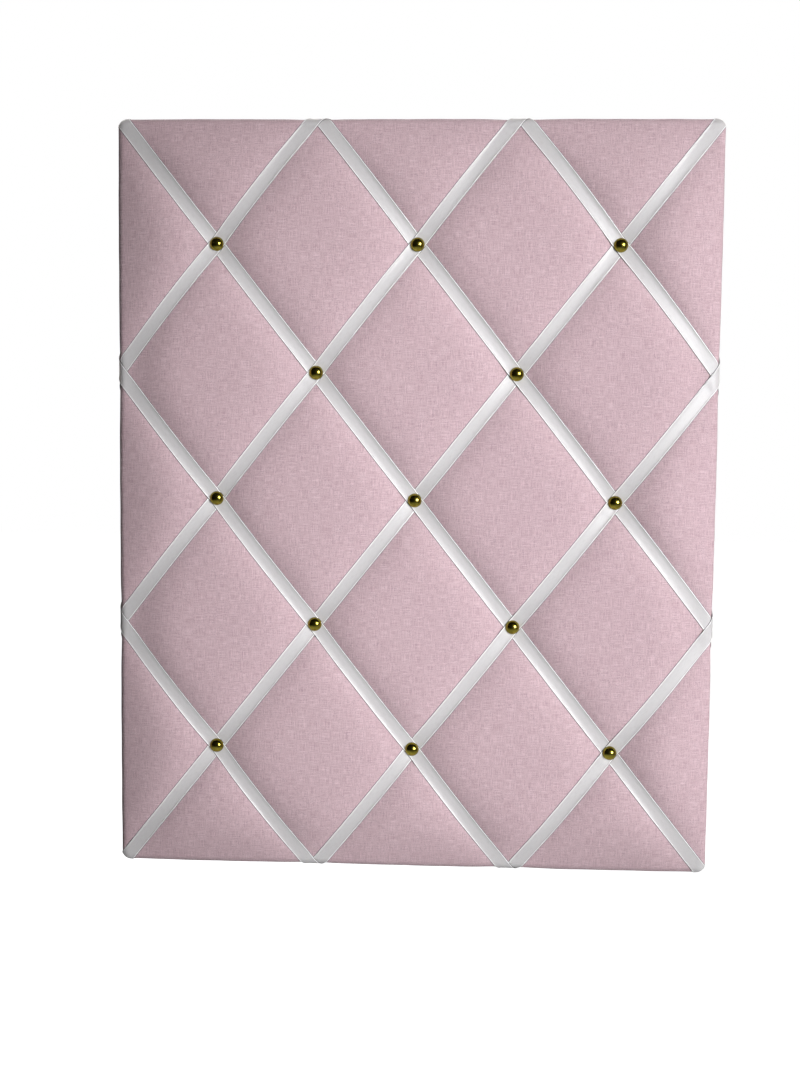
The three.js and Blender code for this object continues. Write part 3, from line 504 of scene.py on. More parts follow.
def woven_threads():
    """Plain weave on a flat place in thread widths: each cell shows a rounded warp or weft thread, in turn,
    and slubs lighten or darken stretches of single threads."""
    group, given, made = effect(
        "woven_threads",
        [("Place", "NodeSocketVector")],
        [("Height", "NodeSocketFloat"), ("Warp Slub", "NodeSocketFloat"), ("Weft Slub", "NodeSocketFloat")])
    split = put(group, "ShaderNodeSeparateXYZ", {"Vector": given["Place"]})
    across, along = split.outputs[0], split.outputs[1]
    warp = maths(group, "ABSOLUTE", maths(group, "SINE", maths(group, "MULTIPLY", across, math.pi)))
    weft = maths(group, "ABSOLUTE", maths(group, "SINE", maths(group, "MULTIPLY", along, math.pi)))
    cell = maths(group, "ADD", maths(group, "FLOOR", across), maths(group, "FLOOR", along))
    turn = maths(group, "FLOORED_MODULO", cell, 2.0)
    shown_warp = maths(group, "MULTIPLY", warp, turn)
    shown_weft = maths(group, "MULTIPLY", weft, maths(group, "SUBTRACT", 1.0, turn))
    group.links.new(maths(group, "ADD", shown_warp, shown_weft), made["Height"])
    group.links.new(noise_at(group, given["Place"], (SLUB_ACROSS, SLUB_ALONG, 1.0)), made["Warp Slub"])
    group.links.new(noise_at(group, given["Place"], (SLUB_ALONG, SLUB_ACROSS, 1.0)), made["Weft Slub"])
    return group


def mottle():
    """Two sizes of noise on a place, each from 0 to 1: coarse patches and a fine grain."""
    group, given, made = effect(
        "mottle",
        [("Place", "NodeSocketVector"), ("Coarse", "NodeSocketFloat"), ("Fine", "NodeSocketFloat")],
        [("Patches", "NodeSocketFloat"), ("Grain", "NodeSocketFloat")])
    for scale, out in (("Coarse", "Patches"), ("Fine", "Grain")):
        inputs = {"Vector": given["Place"], "Scale": given[scale], "Detail": FINE_DETAIL}
        noise = put(group, "ShaderNodeTexNoise", inputs)
        group.links.new(noise.outputs[0], made[out])
    return group


WOVEN = woven_threads()
MOTTLE = mottle()


def use(tree, group, inputs):
    return put(tree, "ShaderNodeGroup", inputs, node_tree=group).outputs


def new_material(name, **sockets):
    """A material with plain values for sockets of its shader, its tree and its shader's inputs."""
    material = bpy.data.materials.new(name)
    material.use_nodes = True
    shader = material.node_tree.nodes["Principled BSDF"]
    for socket, value in sockets.items():
        shader.inputs[socket.replace("_", " ")].default_value = value
    return material, material.node_tree, shader.inputs


def object_place(tree):
    return put(tree, "ShaderNodeTexCoord").outputs["Object"]


def laid_place(tree, size):
    """The flat place of a sheet in metres divided by a thread's width."""
    flat = put(tree, "ShaderNodeUVMap", uv_map="laid").outputs[0]
    return put(tree, "ShaderNodeMapping", {"Vector": flat, "Scale": size}).outputs[0]


def mottled(tree, coarse, fine):
    return use(tree, MOTTLE, {"Place": object_place(tree), "Coarse": coarse, "Fine": fine})


def raised(tree, shader, height, strength, distance):
    """Sets a height in relief by the shader's normal."""
    bump = put(tree, "ShaderNodeBump", {"Height": height, "Strength": strength, "Distance": distance})
    tree.links.new(bump.outputs[0], shader["Normal"])


def pink_cotton():
    """Slubbed plain-weave cotton: pale and rose threads over a dusty pink, with a fine weave in relief."""
    material, tree, shader = new_material(
        "pink_cotton", Roughness=0.92, Sheen_Weight=0.12, Sheen_Roughness=0.6, Specular_IOR_Level=0.15)
    threads = use(tree, WOVEN, {"Place": laid_place(tree, (1 / THREAD, 1 / THREAD, 1))})
    grain = use(tree, MOTTLE, {"Place": object_place(tree), "Fine": CLOTH_GRAIN})["Grain"]
    warp_share = ramp(tree, threads["Warp Slub"], *ROSE_RANGE)
    weft_share = ramp(tree, threads["Weft Slub"], *PALE_RANGE)
    rose = blended(tree, warp_share, linear(CLOTH_PINK), linear(CLOTH_ROSE))
    pale = blended(tree, weft_share, rose, linear(CLOTH_PALE))
    flecks = blended(tree, ramp(tree, grain, *FLECK_RANGE), pale, linear(CLOTH_FLECK))
    tree.links.new(flecks, shader["Base Color"])
    raised(tree, shader, threads["Height"], *WEAVE_RELIEF)
    return material


def white_satin():
    """Woven satin ribbon: fine lengthwise floats that streak the gloss in relief and, as painted sheen,
    streak its colour with a shaded white; each edge has a painted highlight along its bead and a painted
    shadow at its rim."""
    material, tree, shader = new_material("white_satin", Anisotropic=0.55, Sheen_Weight=0.1)
    place = laid_place(tree, (1 / FLOAT_WIDTH, 1 / FLOAT_LENGTH, 1))
    streaks = noise_at(tree, place, STREAK_STRETCH, FINE_DETAIL)
    cross = noise_at(tree, place, CROSS_STRETCH)
    # Painted sheen: streaks of a shaded white along the floats
    painted_sheen = blended(tree, ramp(tree, streaks, *STREAK_RANGE), linear(SATIN_WHITE), linear(SATIN_PAINTED_SHADE))
    flat = put(tree, "ShaderNodeUVMap", uv_map="laid").outputs[0]
    off_middle = maths(tree, "ABSOLUTE", put(tree, "ShaderNodeSeparateXYZ", {"Vector": flat}).outputs[0])
    # Painted highlight along each edge's bead, and painted shadow in a thin line at the rim
    bead = ramp(tree, off_middle, RIBBON_HALF - BEAD_HIGHLIGHT_WIDTH, RIBBON_HALF - SELVEDGE_INSET)
    edge = ramp(tree, off_middle, RIBBON_HALF - EDGE_SHADOW_WIDTH, RIBBON_HALF - EDGE_SHADOW_WIDTH / 2)
    bordered = blended(tree, edge, blended(tree, bead, painted_sheen, linear(SATIN_BEAD_HIGHLIGHT)), linear(SATIN_EDGE_SHADOW))
    tree.links.new(bordered, shader["Base Color"])
    tree.links.new(ramp(tree, cross, 0.0, 1.0, *SATIN_ROUGH), shader["Roughness"])
    raised(tree, shader, streaks, *SATIN_RELIEF)
    return material


def worn_metal(name, bright, worn, noise, patch_range, rough):
    """Metal with a worn tone in soft patches, and a fine grain in its gloss."""
    material, tree, shader = new_material(name, Metallic=1.0)
    patches = mottled(tree, *noise)
    tone = blended(tree, ramp(tree, patches["Patches"], *patch_range), linear(bright), linear(worn))
    tree.links.new(tone, shader["Base Color"])
    tree.links.new(ramp(tree, patches["Grain"], 0.0, 1.0, *rough), shader["Roughness"])
    return material


def pressed_board(name, body, dark, noise, rough):
    """Pressed wood fibres: a mottled brown with dark flecks and a fine relief."""
    material, tree, shader = new_material(name, Roughness=rough)
    patches = mottled(tree, *noise)
    tone = blended(tree, ramp(tree, patches["Patches"], *FIBRE_PATCHES), linear(body), linear(dark))
    flecked = blended(tree, ramp(tree, patches["Grain"], *FIBRE_FLECKS), tone, linear(dark))
    tree.links.new(flecked, shader["Base Color"])
    raised(tree, shader, patches["Grain"], *FIBRE_RELIEF)
    return material


def soft_wadding():
    """White wadding: matt, with a loose fibrous relief."""
    material, tree, shader = new_material("soft_wadding", Roughness=1.0, Sheen_Weight=0.3)
    patches = mottled(tree, *WADDING_NOISE)
    tone = blended(tree, patches["Patches"], linear(WADDING_WHITE), linear(WADDING_GREY))
    tree.links.new(tone, shader["Base Color"])
    raised(tree, shader, patches["Grain"], *WADDING_RELIEF)
    return material


cotton = pink_cotton()
satin = white_satin()
brass = worn_metal("polished_brass", BRASS_BRIGHT, BRASS_AGED, BRASS_NOISE, BRASS_RANGE, BRASS_ROUGH)
steel = worn_metal("zinc_steel", STEEL_BRIGHT, STEEL_DULL, STEEL_NOISE, STEEL_RANGE, STEEL_ROUGH)
hardboard = pressed_board("hardboard", HARDBOARD_BROWN, HARDBOARD_DARK, HARDBOARD_NOISE, HARDBOARD_ROUGH)
fibreboard = pressed_board("fibreboard", FIBRE_TAN, FIBRE_DARK, FIBRE_NOISE, FIBRE_ROUGH)
wadding_white = soft_wadding()


# Cover and wadding

def outline_columns(face_x, face_z):
    """Columns round the board, anticlockwise from the front: each one's anchor on the finished outline and
    its way outwards. They start at the rim of the face grid, and fan out round the corners."""
    turn = (np.arange(CORNER_COLUMNS) + MIDWAY) / CORNER_COLUMNS * math.pi / 2
    runs = [
        (np.full_like(face_z, HALF_WIDTH), face_z),
        (face_x[::-1], np.full_like(face_x, HALF_HEIGHT)),
        (np.full_like(face_z, -HALF_WIDTH), face_z[::-1]),
        (face_x, np.full_like(face_x, -HALF_HEIGHT)),
    ]
    anchors, ways = [], []
    for quarter, (x, z) in enumerate(runs):
        angle = quarter * math.pi / 2
        anchors.append(np.stack([x, z], axis=-1))
        ways.append(np.broadcast_to(np.round([math.cos(angle), math.sin(angle)]), (len(x), 2)))
        way = np.stack([np.cos(angle + turn), np.sin(angle + turn)], axis=-1)
        middle = np.array([HALF_WIDTH - CORNER_RADIUS, HALF_HEIGHT - CORNER_RADIUS]) * np.sign(way)
        anchors.append(middle + CORNER_RADIUS * way)
        ways.append(way)
    return np.concatenate(anchors), np.concatenate(ways)


def grid_rim(columns, rows):
    """Numbers of the face grid's rim points in the order of the columns, each corner's repeated for its
    fan."""
    number = np.arange(rows * columns).reshape(rows, columns)
    runs = [number[:, -1], number[-1, ::-1], number[::-1, 0], number[0]]
    return np.concatenate([np.concatenate([run, np.repeat(run[-1], CORNER_COLUMNS)]) for run in runs])


def on_plan(anchors, ways, length):
    """Places on the unfolded plan of the columns' rows."""
    return anchors[:, None] + (length - EDGE_RADIUS)[..., None] * ways[:, None]


def wrapped_shell(cells, inset, band):
    """A shell round the front of the board, an inset under the cover's face: a face grid whose cells are
    split along the nearer ribbon, and a band of columns round it whose rows follow band's places out and
    deep. Also gives each point its place on the unfolded plan, and the numbers of the band's last row."""
    step_x, step_z = PITCH_X / cells, PITCH_Z / cells
    reach_x = int((HALF_WIDTH - EDGE_RADIUS - RIM_FLAT) / step_x)
    reach_z = int((HALF_HEIGHT - EDGE_RADIUS - RIM_FLAT) / step_z)
    face_x = np.arange(-reach_x, reach_x + 1) * step_x
    face_z = np.arange(-reach_z, reach_z + 1) * step_z
    x, z = np.meshgrid(face_x, face_z)
    face_points = wrapped(x, z, -inset).reshape(-1, 3)
    quads = np.array(grid_faces(*x.shape))
    a, b = lattice_of(*face_points[quads].mean(axis=1)[:, [0, 2]].T)
    rising = (away_from_ribbon(b) < away_from_ribbon(a))[:, None]
    first = np.where(rising, quads[:, [0, 1, 2]], quads[:, [0, 1, 3]])
    second = np.where(rising, quads[:, [0, 2, 3]], quads[:, [1, 2, 3]])
    faces = first.tolist() + second.tolist()

    anchors, ways = outline_columns(face_x, face_z)
    out, depth, length = band(anchors, ways)
    plan = anchors[:, None] + out[..., None] * ways[:, None]
    band_points = np.stack([plan[..., 0], depth, plan[..., 1]], axis=-1)
    flat = on_plan(anchors, ways, length)
    number = len(face_points) + np.arange(depth.size).reshape(depth.shape)
    number = np.concatenate([grid_rim(len(face_x), len(face_z))[:, None], number], axis=1)
    after = np.roll(number, -1, axis=0)
    quads = np.stack([number[:, :-1], number[:, 1:], after[:, 1:], after[:, :-1]], axis=-1).reshape(-1, 4)
    fans = quads[:, 0] == quads[:, 3]
    faces += quads[~fans].tolist() + quads[fans][:, :3].tolist()
    points = np.concatenate([face_points, band_points.reshape(-1, 3)])
    laid = np.concatenate([np.stack([x, z], axis=-1).reshape(-1, 2), flat.reshape(-1, 2)])
    return points, faces, laid, number[:, -1]


def edge_lengths():
    """Unfolded lengths of the rows over an edge, closer together on its roundings."""
    return np.concatenate([
        np.linspace(0, EDGE_ARC, ROUND_ROWS + 1),
        np.linspace(EDGE_ARC, EDGE_ARC + WALL_LENGTH, WALL_ROWS + 1)[1:],
        np.linspace(EDGE_ARC + WALL_LENGTH, BACK_START, ROUND_ROWS - 1)[1:],
    ])


def is_straight(ways):
    """Which columns lie on a straight edge, not in a corner's fan."""
    return np.abs(ways).max(axis=1) == 1


def column_wave(anchors, ways, length):
    """Uneven line of the wrapped sides at the columns."""
    over_side = np.abs(ways[:, :1]) > np.abs(ways[:, 1:])
    return side_wave(over_side, anchors[:, :1], anchors[:, 1:], length)


def column_rise(anchors, ways, length):
    """Rise of the cover at the columns, from their places on the unfolded plan."""
    flat = on_plan(anchors, ways, length)
    return cloth_rise(flat[..., 0], flat[..., 1])


def cover_band(anchors, ways):
    """Rows of the cover over the edges and along the hem, which stops at a mitre near each corner."""
    lengths = edge_lengths()
    from_corner = np.max([HALF_WIDTH, HALF_HEIGHT] - np.abs(anchors), axis=1)
    hem = np.where(is_straight(ways), np.minimum(HEM_WIDTH, from_corner), CORNER_RADIUS) - BACK_RADIUS
    shares = np.arange(1, HEM_ROWS + 1) / HEM_ROWS
    over = np.broadcast_to(lengths, (len(anchors), len(lengths)))
    length = np.concatenate([over, BACK_START + hem[:, None] * shares], axis=1)
    out, depth = edge_profile(length, column_rise(anchors, ways, length))
    return out + column_wave(anchors, ways, length), depth, length


def stretched_cover():
    """The cover as one open sheet, cut to its outline with the wraps and hems."""
    points, faces, laid, _ = wrapped_shell(CELLS_PER_PITCH, 0.0, cover_band)
    piece = add_piece("stretched_cover", points, faces, cotton, laid=laid, closed=False)
    stand_for(piece, "cover_cloth", "board")


def pad_band(anchors, ways):
    """Rows of the pad down the sides, in under its back edge and forwards along the core's sides to the
    core's front."""
    core_low, core_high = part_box("core_board")
    pad_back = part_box("wadding")[1].y
    wall = pad_back - RIM_LEVEL - EDGE_RADIUS
    over = np.linspace(0, EDGE_ARC, PAD_ROWS)
    lengths = np.concatenate([over, np.linspace(EDGE_ARC, EDGE_ARC + wall, PAD_WALL_ROWS)[1:]])
    length = np.broadcast_to(lengths, (len(anchors), len(lengths)))
    out, depth = edge_profile(length, column_rise(anchors, ways, length) - WADDING_INSET)
    out = out + column_wave(anchors, ways, length)
    inner = np.full((len(anchors), 1), core_high.x - HALF_WIDTH + CORE_AIR)
    back = np.full((len(anchors), 1), pad_back)
    front = np.full((len(anchors), 1), core_low.y - CORE_AIR)
    out = np.concatenate([out, inner, inner], axis=1)
    depth = np.concatenate([depth, back, front], axis=1)
    return out, depth, np.zeros_like(depth)


def wadding_pad():
    """The pad between the core and the cover, closed over the core's front by a fan from its middle."""
    points, faces, _, rim = wrapped_shell(PAD_CELLS_PER_PITCH, WADDING_INSET, pad_band)
    faces += [[first, second, len(points)] for first, second in zip(rim.tolist(), np.roll(rim, -1).tolist())]
    points = np.concatenate([points, [points[rim].mean(axis=0)]])
    piece = add_piece("wadding_pad", points, faces, wadding_white, sharp=FABRIC_SHARP)
    stand_for(piece, "wadding", "board")


# Ribbons, in the order in which they were laid, so that each lies over those before it

LAID = [
    ("rise", 0), ("fall", 0), ("fall", 1), ("fall", 2), ("rise", -1),
    ("rise", 1), ("rise", -2), ("rise", 2), ("fall", -1), ("fall", -2),
]


def ribbon_section():
    """A ring of places round a ribbon's section, across it and above the cloth: its top has a bead, a bell
    curve in height, along each edge, and its underside is level."""
    from_edge = RIBBON_HALF * (np.arange(TOP_STEPS + 1) / TOP_STEPS) ** 2
    bead = SELVEDGE_HEIGHT * np.exp(-((from_edge - SELVEDGE_INSET) / SELVEDGE_WIDTH) ** 2)
    edge = np.minimum(1, SELVEDGE_THIN + from_edge / SELVEDGE_INSET)
    top = RIBBON_REST + RIBBON_THICKNESS * edge + bead
    across = from_edge - RIBBON_HALF
    under = np.linspace(1, -1, UNDER_STEPS) * RIBBON_HALF
    ring_across = np.concatenate([across, -across[-2::-1], under])
    ring_height = np.concatenate([top, top[-2::-1], np.full_like(under, RIBBON_REST)])
    return ring_across, ring_height


ACROSS, HEIGHT = ribbon_section()


def ribbon_line(kind, line):
    """Middle of a ribbon's line in plan, its way along and the way across it."""
    rise = 1 if kind == "rise" else -1
    middle = np.array([line * PITCH_X, -rise * line * PITCH_Z])
    way = np.array([PITCH_X, rise * PITCH_Z]) / LATTICE_STEP
    return middle, way, np.array([-way[1], way[0]])


def lane_lift(kind, line, along):
    """Raise of a ribbon over those laid before it: full on a crossing, with a ramp to each side that is
    level at both ends, three squares of the share less two cubes."""
    other = "fall" if kind == "rise" else "rise"
    earlier = LAID[:LAID.index((kind, line))]
    reach = LATTICE_REACH - abs(line)
    lift = np.zeros_like(along)
    for node in range(-reach, reach + 1):
        if (other, node) in earlier:
            distance = np.abs(along - node * LATTICE_STEP)
            share = np.clip((LIFT_END - distance) / (LIFT_END - LIFT_FULL), 0, 1)
            lift = np.maximum(lift, LANE_LIFT * share * share * (3 - 2 * share))
    return lift


def laid_rows(kind, line, along):
    """Rows of a ribbon laid on the cover, from their lengths along the ribbon's line."""
    middle, way, side = ribbon_line(kind, line)
    plan = middle + along[:, None, None] * way + ACROSS[:, None] * side
    lift = lane_lift(kind, line, along)[:, None] + HEIGHT
    return wrapped(plan[..., 0], plan[..., 1], lift)


def edge_reach(middle, way):
    """Length along a line from its middle to the start of a front rounding, and the share of it that runs
    across that edge."""
    limit = np.sign(way) * [HALF_WIDTH - EDGE_RADIUS, HALF_HEIGHT - EDGE_RADIUS]
    lengths = (limit - middle) / way
    axis = int(np.argmin(lengths))
    return lengths[axis], abs(way[axis])


def spaced(start, end, step):
    """Even places from start to end, a step or a little less apart."""
    return np.linspace(start, end, math.ceil((end - start) / step) + 1)


def edge_to_edge(kind, line):
    """Lengths along a ribbon that wraps over two straight edges, closer together near its ends."""
    middle, way, _ = ribbon_line(kind, line)
    near, near_share = edge_reach(middle, -way)
    far, far_share = edge_reach(middle, way)
    start = -near - (HEM_END + RIBBON_PAST_HEM) / near_share
    end = far + (HEM_END + RIBBON_PAST_HEM) / far_share
    bend_start, bend_end = WRAP_MARGIN - near, far - WRAP_MARGIN
    return np.concatenate([
        spaced(start, bend_start, WRAP_STATION)[:-1],
        spaced(bend_start, bend_end, FACE_STATION),
        spaced(bend_end, end, WRAP_STATION)[1:],
    ])


def leaving(start, ahead, size):
    """Length along each line at which it leaves a rounded corner's outline of a size: on the arc, by the
    chord of a circle, or on the straight beside it."""
    straight = np.min((size[..., None] - start) / ahead, axis=-1)
    room = size ** 2 - np.sum(start ** 2, axis=-1)
    on_arc = np.sqrt(np.maximum(room, 0))
    meets = start + on_arc[..., None] * ahead
    return np.where((room > 0) & np.all(meets > 0, axis=-1), on_arc, straight)


def corner_rows(way, side):
    """Rows of a ribbon over a rounded corner. Each line along the ribbon leaves the corner's outline of a
    row's size, and runs back behind the board after the last rounding."""
    signs = np.sign(way)
    middle = signs * [HALF_WIDTH - CORNER_RADIUS, HALF_HEIGHT - CORNER_RADIUS]
    start = (ACROSS - middle @ side)[:, None] * side * signs
    ahead = np.abs(way)
    length = np.broadcast_to(edge_lengths()[:, None], (len(edge_lengths()), len(ACROSS)))
    unfolded = leaving(start, ahead, CORNER_RADIUS - EDGE_RADIUS + length)
    flat = (start + unfolded[..., None] * ahead) * signs + middle
    out, depth = edge_profile(length, cloth_rise(flat[..., 0], flat[..., 1]) + HEIGHT)
    leaves = leaving(start, ahead, CORNER_RADIUS + out)
    shares = np.arange(1, TAIL_ROWS + 1)[:, None] / TAIL_ROWS
    leaves = np.concatenate([leaves, leaves[-1] * (1 - shares) - CORNER_TAIL * shares])
    depth = np.concatenate([depth, np.broadcast_to(depth[-1], (TAIL_ROWS, len(ACROSS)))])
    plan = (start + leaves[..., None] * ahead) * signs + middle
    return np.stack([plan[..., 0], depth, plan[..., 1]], axis=-1)


def corner_to_corner(kind):
    """Rows of a ribbon that runs over two opposite corners, joined to the face by short even steps."""
    middle, way, side = ribbon_line(kind, 0)
    far = edge_reach(middle, way)[0] - CORNER_MARGIN
    face = laid_rows(kind, 0, spaced(-far, far, FACE_STATION))
    rows = [corner_rows(-way, side)[::-1], face, corner_rows(way, side)]
    shares = (np.arange(1, JOIN_ROWS + 1) / (JOIN_ROWS + 1))[:, None]
    for before, after in ((0, 1), (2, 3)):
        last, first = rows[before][-1], rows[after][0]
        plan_x = last[:, 0] * (1 - shares) + first[:, 0] * shares
        plan_z = last[:, 2] * (1 - shares) + first[:, 2] * shares
        rows.insert(after, wrapped(plan_x, plan_z, HEIGHT))
    return np.concatenate(rows)


def satin_ribbon(kind, line):
    """A ribbon as one closed skin: its section's ring carried along its rows, with both ends capped."""
    points = corner_to_corner(kind) if line == 0 else laid_rows(kind, line, edge_to_edge(kind, line))
    steps = np.linalg.norm(np.diff(points[:, TOP_STEPS], axis=0), axis=1)
    along = np.concatenate([[0], np.cumsum(steps)])
    count = len(ACROSS)
    faces = grid_faces(len(points), count, closed_columns=True)
    faces += [list(range(count)), list(range((len(points) - 1) * count, len(points) * count))]
    laid = np.stack(np.broadcast_arrays(ACROSS, along[:, None]), axis=-1)
    number = line + LATTICE_REACH
    piece = add_piece(f"satin_ribbon_{kind}_{number}", points, faces, satin, laid=laid, sharp=FABRIC_SHARP)
    stand_for(piece, f"ribbon_{kind}_{number}", "board")


# Fasteners and hangers

def domed_tack(name, place):
    """A hollow dome, half of an ellipse, with a rolled rim, on a pointed shank."""
    turn = np.linspace(0, math.pi / 2, DOME_ROWS)
    outer = [(TACK_RADIUS * math.sin(t), TACK_SEAT - HEAD_HEIGHT * math.cos(t)) for t in turn]
    inner_radius, inner_height = TACK_RADIUS - HEAD_WALL, HEAD_HEIGHT - HEAD_WALL
    rim = [(TACK_RADIUS - HEAD_WALL / 2, TACK_SEAT + RIM_ROLL)]
    inner = [(inner_radius * math.sin(t), TACK_SEAT - inner_height * math.cos(t)) for t in turn[::-1]]
    inner = [spot for spot in inner if spot[0] > SHANK_RADIUS]
    root = TACK_SEAT - inner_height * math.sqrt(1 - (SHANK_RADIUS / inner_radius) ** 2)
    shank = [(SHANK_RADIUS, root), (SHANK_RADIUS, TACK_TIP - POINT_LENGTH), (0, TACK_TIP)]
    points, faces = turned_shell(outer + rim + inner + shank, place)
    piece = add_piece(f"dome_{name}", points, faces, brass, sharp=METAL_SHARP)
    stand_for(piece, name, "board")


def panel_pin(name):
    """A flat-domed head on a pointed shank, driven from behind."""
    low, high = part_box(name)
    place = ((low.x + high.x) / 2, (low.z + high.z) / 2)
    radius = (high.z - low.z) / 2
    seat = high.y - PIN_HEAD_HEIGHT
    turn = np.linspace(0, math.pi / 2, PIN_ROWS)
    rise = PIN_HEAD_HEIGHT - PIN_SHOULDER
    head = [(radius * math.sin(t), seat + PIN_SHOULDER + rise * math.cos(t)) for t in turn]
    shank = [(PIN_RADIUS, seat), (PIN_RADIUS, low.y + PIN_POINT), (0, low.y)]
    points, faces = turned_shell(head + [(radius, seat)] + shank, place)
    piece = add_piece(f"driven_{name}", points, faces, steel, sharp=METAL_SHARP)
    stand_for(piece, name, "board")


def ring_line(length):
    """Middle line of a D-ring from the length along its wire: a bar, a bend, a half circle and a bend."""
    bow = RING_BAR / 2 + RING_BEND
    bend = RING_BEND * math.pi / 2
    first = (length - RING_BAR) / RING_BEND
    round_bow = (length - RING_BAR - bend) / bow
    last = (length - RING_BAR - bend - bow * math.pi) / RING_BEND
    stretches = [length <= RING_BAR, first <= math.pi / 2, round_bow <= math.pi]
    x = np.select(
        stretches,
        [0 * length, RING_BEND * (np.cos(first) - 1), -RING_BEND - bow * np.sin(round_bow)],
        -RING_BEND * (1 - np.sin(last)))
    z = np.select(
        stretches,
        [length - RING_BAR / 2, RING_BAR / 2 + RING_BEND * np.sin(first), bow * np.cos(round_bow)],
        -RING_BAR / 2 - RING_BEND * np.cos(last))
    return np.stack([x, z], axis=-1)


def hanger_ring(side_name, sign):
    """Round wire swept along the ring's line, whose bar lies on the hinge."""
    node = f"hanger_ring_{side_name}"
    low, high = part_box(node)
    radius = (high.y - low.y) / 2
    axis_x = high.x - radius if sign > 0 else low.x + radius
    total = RING_BAR + RING_BEND * math.pi + (RING_BAR / 2 + RING_BEND) * math.pi
    length = np.arange(RING_STATIONS) / RING_STATIONS * total
    line = ring_line(length)
    tangent = ring_line((length + RING_PROBE) % total) - ring_line((length - RING_PROBE) % total)
    tangent /= np.linalg.norm(tangent, axis=1, keepdims=True)
    level = np.stack([tangent[:, 1], -tangent[:, 0]], axis=-1)
    angle = np.arange(RING_SIDES) / RING_SIDES * 2 * math.pi
    plan = sign * (line[:, None] + radius * np.cos(angle)[:, None] * level[:, None])
    x = axis_x + plan[..., 0]
    z = (low.z + high.z) / 2 + plan[..., 1]
    y = np.broadcast_to((low.y + high.y) / 2 + radius * np.sin(angle), x.shape)
    faces = grid_faces(RING_STATIONS, RING_SIDES, closed_rows=True, closed_columns=True)
    piece = add_piece(f"wire_ring_{side_name}", np.stack([x, y, z], axis=-1), faces, steel)
    stand_for(piece, node, f"ring_{side_name}")


def hanger_screw(side_name):
    """A slotted pan head on a pointed shank. The head is made of sections from one side to the other, each a
    closed ring of a domed top and a level seat, and the ones inside the slot are cut down to its floor."""
    node = f"hanger_screw_{side_name}"
    low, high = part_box(node)
    middle_x, middle_z = (low.x + high.x) / 2, (low.z + high.z) / 2
    radius = (high.z - low.z) / 2
    seat = high.y - SCREW_HEAD_HEIGHT
    outside = radius * np.sin(np.linspace(math.asin(SLOT_HALF / radius), math.pi / 2, SCREW_ROWS))
    inside = np.linspace(-SLOT_HALF, SLOT_HALF, SLOT_ROWS)
    lines = np.concatenate([-outside[::-1], inside, outside])
    in_slot = np.repeat([False, True, False], [SCREW_ROWS, SLOT_ROWS, SCREW_ROWS])[:, None]
    chord = np.sqrt(np.maximum(radius ** 2 - lines ** 2, 0))[:, None]
    share = np.sin(np.linspace(-math.pi / 2, math.pi / 2, 2 * SCREW_ROWS))
    x = chord * share
    off_axis = np.sqrt(x ** 2 + lines[:, None] ** 2) / radius
    crown = np.sqrt(np.maximum(1 - off_axis ** SCREW_DOME_POWER, 0))
    dome = SCREW_HEAD_HEIGHT * (SCREW_RIM + (1 - SCREW_RIM) * crown)
    top = np.where(in_slot, np.minimum(dome, SCREW_HEAD_HEIGHT - SCREW_RECESS), dome)
    ring_x = np.concatenate([x, x[:, ::-1]], axis=1)
    ring_y = seat + np.concatenate([top, 0 * top], axis=1)
    ring_z = np.broadcast_to(lines[:, None], ring_x.shape)
    head_points = np.stack([middle_x + ring_x, ring_y, middle_z + ring_z], axis=-1).reshape(-1, 3)
    head_faces = grid_faces(*ring_x.shape, closed_columns=True)
    root = seat + SCREW_ROOT
    shank = [(0, root), (SCREW_RADIUS, root), (SCREW_RADIUS, low.y + SCREW_POINT), (0, low.y)]
    shank_points, shank_faces = turned_shell(shank, (middle_x, middle_z))
    points = np.concatenate([head_points, shank_points])
    faces = head_faces + (np.array(shank_faces) + len(head_points)).tolist()
    piece = add_piece(f"slotted_screw_{side_name}", points, faces, steel, sharp=METAL_SHARP)
    stand_for(piece, node, "board")


def paint(nodes, material):
    """Gives nodes of the frame a material in place of their own."""
    for name in nodes:
        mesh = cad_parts[name].data
        mesh.materials.clear()
        mesh.materials.append(material)


stretched_cover()
wadding_pad()
for ribbon_kind, ribbon_number in LAID:
    satin_ribbon(ribbon_kind, ribbon_number)
for tack_name, tack_place in zip(tack_names, tack_places):
    domed_tack(tack_name, tack_place)
for node_name in sorted(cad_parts):
    if node_name.startswith("panel_pin_"):
        panel_pin(node_name)
for hanger_name, hanger_sign in (("left", -1), ("right", 1)):
    hanger_ring(hanger_name, hanger_sign)
    hanger_screw(hanger_name)
paint(["core_board"], fibreboard)
paint(["back_panel"], hardboard)
paint([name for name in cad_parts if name.startswith(("staple_", "hanger_strap_"))], steel)


# Floor, light and camera

